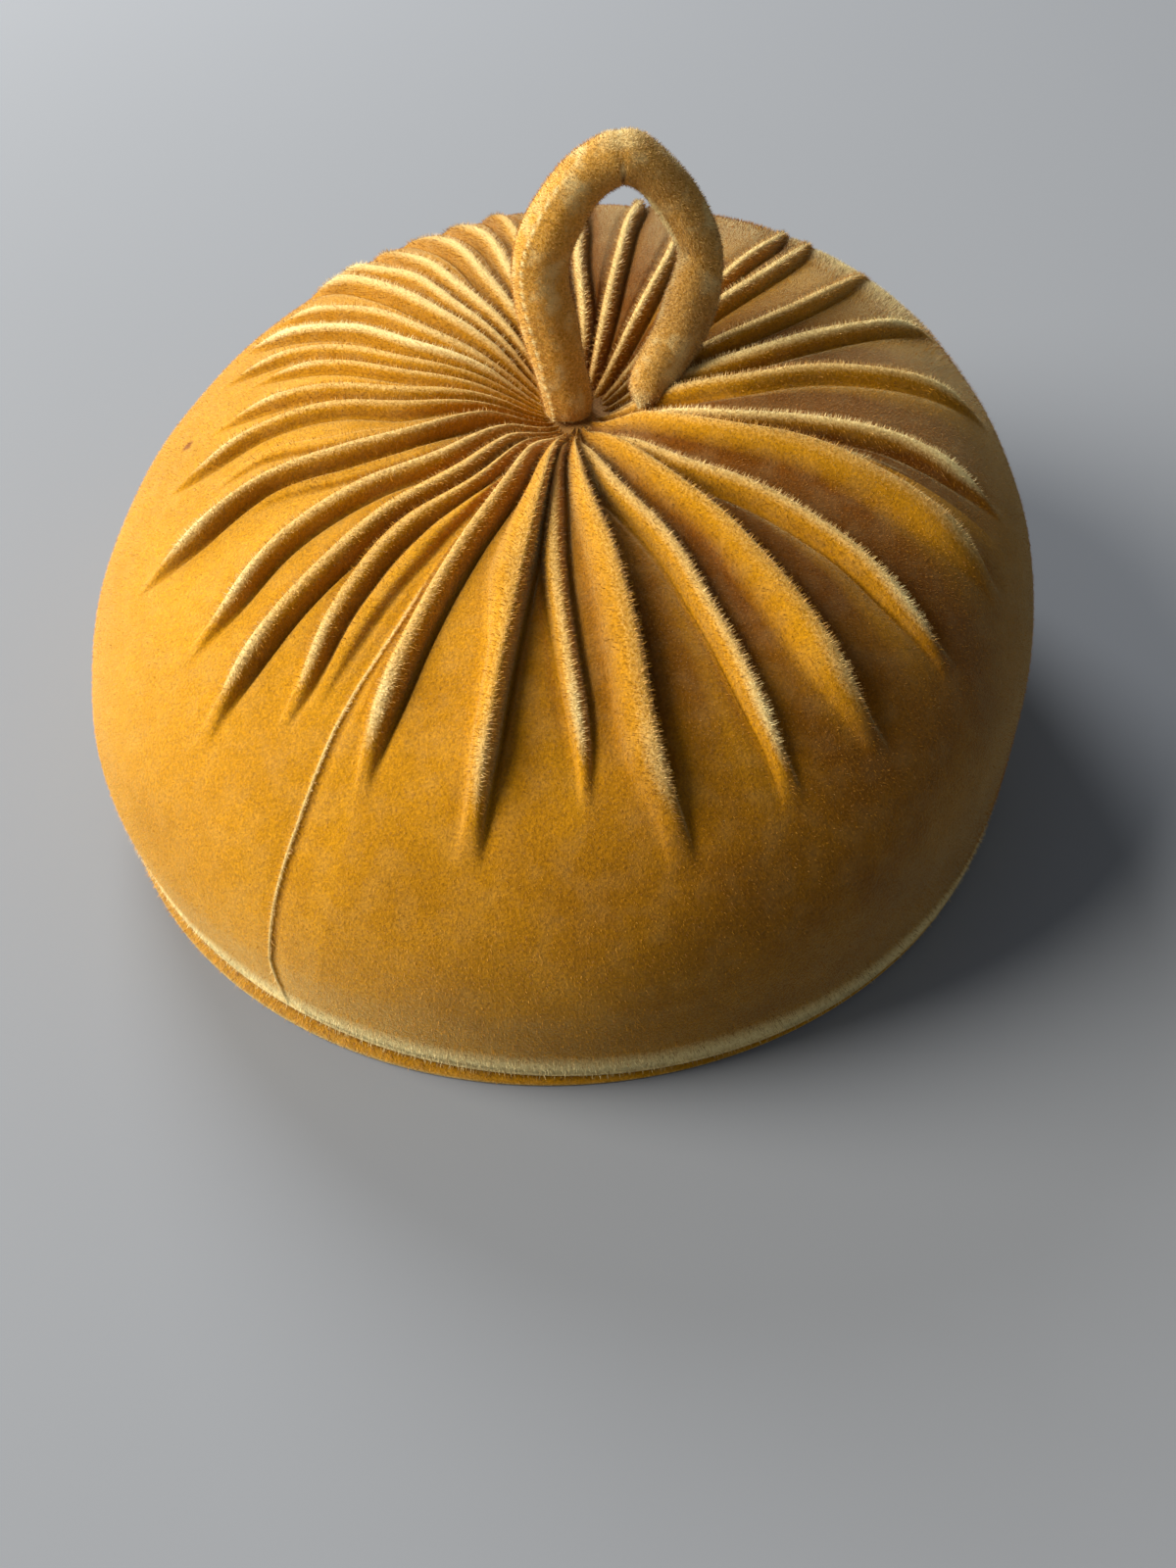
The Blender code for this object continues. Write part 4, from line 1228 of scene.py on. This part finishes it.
def pile_material(name, colours, dark, bright):
    """Single fibres: each its own shade, darker under painted shade and paler under painted sheen and
    wear.
    """
    material, tree, shader = new_finish(
        name, Roughness=0.6, Specular_IOR_Level=0.3, Sheen_Weight=0.6,
        Sheen_Roughness=0.4, Sheen_Tint=(*colours.sheen, 1.0))
    link = tree.links.new
    place = node(tree, "ShaderNodeTexCoord", (-1300, 0))
    # Fibres darken under the painted shade that the mesh carries
    deep = node(tree, "ShaderNodeAttribute", (-900, 450), attribute_name="deep")
    shade = node(tree, "ShaderNodeAttribute", (-900, 200), attribute_name="shade")
    rubbed = node(tree, "ShaderNodeAttribute", (-900, -200), attribute_name="rubbed")
    single = node(tree, "ShaderNodeMath", (-750, 350), operation="MULTIPLY_ADD",
                  use_clamp=True)
    single.inputs[1].default_value = -0.75
    link(deep.outputs["Fac"], single.inputs[0])
    link(shade.outputs["Fac"], single.inputs[2])
    golden = node(tree, "ShaderNodeMix", (-600, 200), data_type="RGBA")
    lower = [dark * (part + FIBRE_LEAST * (top - part))
             for part, top in zip(colours.shaded_and_dark_pile, colours.pile)]
    golden.inputs[6].default_value = (*lower, 1.0)
    golden.inputs[7].default_value = (*[bright * part for part in colours.pile], 1.0)
    link(single.outputs["Value"], golden.inputs[0])
    chance = node(tree, "ShaderNodeMath", (-600, -100), operation="MULTIPLY_ADD")
    chance.inputs[1].default_value = 1.2
    chance.inputs[2].default_value = -0.35
    link(rubbed.outputs["Fac"], chance.inputs[0])
    spread = node(tree, "ShaderNodeMath", (-600, -350), operation="MULTIPLY")
    spread.inputs[1].default_value = 2.0
    link(shade.outputs["Fac"], spread.inputs[0])
    pale = node(tree, "ShaderNodeMath", (-400, -100), operation="MULTIPLY", use_clamp=True)
    link(chance.outputs[0], pale.inputs[0])
    link(spread.outputs[0], pale.inputs[1])
    cloth = node(tree, "ShaderNodeMix", (-200, 200), data_type="RGBA")
    link(pale.outputs[0], cloth.inputs[0])
    link(golden.outputs[2], cloth.inputs[6])
    cloth.inputs[7].default_value = (*colours.sheen_and_wear_pile, 1.0)
    link(marked(tree, place, cloth.outputs[2], colours), shader.inputs["Base Color"])
    return material


def woven_back(colours):
    """The back of the velvet, which shows only inside: a fine plain weave."""
    material, tree, shader = new_finish("velvet_back", Roughness=0.9)
    link = tree.links.new
    place = node(tree, "ShaderNodeTexCoord", (-900, 0))
    weave = node(tree, "ShaderNodeTexChecker", (-650, 0), Scale=1600.0)
    weave.inputs["Color1"].default_value = (*colours.back, 1.0)
    weave.inputs["Color2"].default_value = (*[0.7 * part for part in colours.back], 1.0)
    link(place.outputs["Object"], weave.inputs["Vector"])
    link(weave.outputs["Color"], shader.inputs["Base Color"])
    bump = node(tree, "ShaderNodeBump", (-300, -200), Strength=0.3, Distance=0.0002)
    link(weave.outputs["Fac"], bump.inputs["Height"])
    link(bump.outputs["Normal"], shader.inputs["Normal"])
    return material


def material_named(name):
    """The finish of this name, made when it is first asked for."""
    colours = bpy.context.scene.hat_velvet
    if name in bpy.data.materials:
        return bpy.data.materials[name]
    if name == "velvet_back":
        return woven_back(colours)
    if name == "gold_pile":
        return pile_material(name, colours, 0.8, 1.4)
    if name == "gold_nap":
        return pile_material(name, colours, 1.0, 1.25)
    if name == "gold_velvet_band":
        return velvet_material(name, colours, 1.0, 0.05)
    # The stem's copy is painted 1.25 times lighter, standing for more light on it, and has more worn
    # patches
    if name == "gold_velvet_stem":
        return velvet_material(name, colours, 1.25, 0.6)
    return velvet_material(name, colours, 1.0, 0.04)


def add_area_light(name, place, size, power, colour):
    """A soft disk of light that faces the hat."""
    light = bpy.data.lights.new(name, "AREA")
    light.shape = "DISK"
    light.size = size
    light.energy = power
    light.color = colour
    obj = bpy.data.objects.new(name, light)
    obj.location = place
    direction = Vector(LIGHTS_AIM) - Vector(place)
    obj.rotation_euler = direction.to_track_quat("-Z", "Y").to_euler()
    bpy.context.scene.collection.objects.link(obj)


def build_stage():
    """A plain pale floor, a large soft light, a weaker one behind and the room's own light."""
    settings = bpy.context.scene.hat_stage
    half = FLOOR_HALF
    corners = [(-half, -half, 0), (half, -half, 0), (half, half, 0), (-half, half, 0)]
    finish = new_finish("pale_floor", Base_Color=(*settings.floor, 1.0), Roughness=0.9,
                        Specular_IOR_Level=0.1)[0]
    mesh_object("floor", corners, [(0, 1, 2, 3)], [finish])
    add_area_light("key_light", KEY_PLACE, KEY_SIZE, settings.key_power, KEY_COLOUR)
    add_area_light("back_light", BACK_PLACE, BACK_SIZE, settings.back_power, BACK_COLOUR)
    world = bpy.data.worlds.new("room")
    world.use_nodes = True
    background = world.node_tree.nodes["Background"]
    background.inputs["Color"].default_value = SKY_COLOUR
    background.inputs["Strength"].default_value = settings.sky
    bpy.context.scene.world = world
    bpy.context.scene.view_settings.view_transform = "Standard"

    camera = bpy.data.cameras.new("camera")
    camera.lens = CAMERA_LENS
    camera.sensor_width = SENSOR_LONG_SIDE
    camera.clip_start = 0.01
    obj = bpy.data.objects.new("camera", camera)
    tilt = Matrix.Rotation(radians(90 - CAMERA_TILT_DOWN), 4, "X")
    roll = Matrix.Rotation(radians(CAMERA_ROLL), 4, "Z")
    obj.matrix_world = Matrix.Translation(CAMERA_PLACE) @ tilt @ roll
    bpy.context.scene.collection.objects.link(obj)
    bpy.context.scene.camera = obj


class HAT_OT_crown(bpy.types.Operator):
    """Build the gathered crown"""

    bl_idname = "hat.build_crown"
    bl_label = "Crown"

    def execute(self, context):
        crown = build_crown(material_named("gold_velvet"), material_named("velvet_back"))
        pile = stand_pile(crown, "crown_pile", material_named("gold_pile"), width=0.85)
        nap = stand_pile(crown, "crown_nap", material_named("gold_nap"), where="plain",
                         density=0.4, length=0.5, width=0.8)
        place_on_hat(crown, "crown")
        place_on_hat(pile)
        place_on_hat(nap)
        return {"FINISHED"}


class HAT_OT_band(bpy.types.Operator):
    """Build the band under the crown's edge"""

    bl_idname = "hat.build_band"
    bl_label = "Band"

    def execute(self, context):
        band = build_under_band(material_named("gold_velvet_band"))
        pile = stand_pile(band, "band_pile", material_named("gold_pile"))
        place_on_hat(band, "under_band")
        place_on_hat(pile)
        return {"FINISHED"}


class HAT_OT_stem(bpy.types.Operator):
    """Build the loop stem"""

    bl_idname = "hat.build_stem"
    bl_label = "Stem"

    def execute(self, context):
        stem = build_stem_loop(material_named("gold_velvet_stem"))
        pile = stand_pile(stem, "stem_pile", material_named("gold_pile"), length=0.6,
                          density=2.2, width=0.8)
        place_on_hat(stem, "stem_loop")
        place_on_hat(pile)
        return {"FINISHED"}


class HAT_OT_stage(bpy.types.Operator):
    """Build the floor, the lights and the camera"""

    bl_idname = "hat.build_stage"
    bl_label = "Stage"

    def execute(self, context):
        build_stage()
        return {"FINISHED"}


class HAT_PT_sidebar(bpy.types.Panel):
    """The hat's sizes, colours and build steps"""

    bl_idname = "HAT_PT_sidebar"
    bl_label = "Turban Hat"
    bl_space_type = "VIEW_3D"
    bl_region_type = "UI"
    bl_category = "Hat"

    def draw(self, context):
        for settings in GROUPS:
            box = self.layout.box()
            for name in GROUPS[settings].__annotations__:
                box.prop(getattr(context.scene, settings), name)
        for operator in OPERATORS:
            self.layout.operator(operator.bl_idname)


GROUPS = {
    "hat_crown": CrownSettings,
    "hat_stem": StemSettings,
    "hat_velvet": VelvetSettings,
    "hat_pile": PileSettings,
    "hat_stage": StageSettings,
}
OPERATORS = (HAT_OT_crown, HAT_OT_band, HAT_OT_stem, HAT_OT_stage)


def register():
    """Register the classes and hang each group of settings on the scene."""
    for name, group in GROUPS.items():
        bpy.utils.register_class(group)
        setattr(bpy.types.Scene, name, PointerProperty(type=group))
    for operator in OPERATORS:
        bpy.utils.register_class(operator)
    bpy.utils.register_class(HAT_PT_sidebar)


def unregister():
    """Take everything away again, in reverse order."""
    bpy.utils.unregister_class(HAT_PT_sidebar)
    for operator in reversed(OPERATORS):
        bpy.utils.unregister_class(operator)
    for name, group in reversed(list(GROUPS.items())):
        delattr(bpy.types.Scene, name)
        bpy.utils.unregister_class(group)


def main():
    """Build the hat and its stage."""
    register()
    bpy.ops.hat.build_crown()
    bpy.ops.hat.build_band()
    bpy.ops.hat.build_stem()
    bpy.ops.hat.build_stage()


if __name__ == "__main__":
    main()
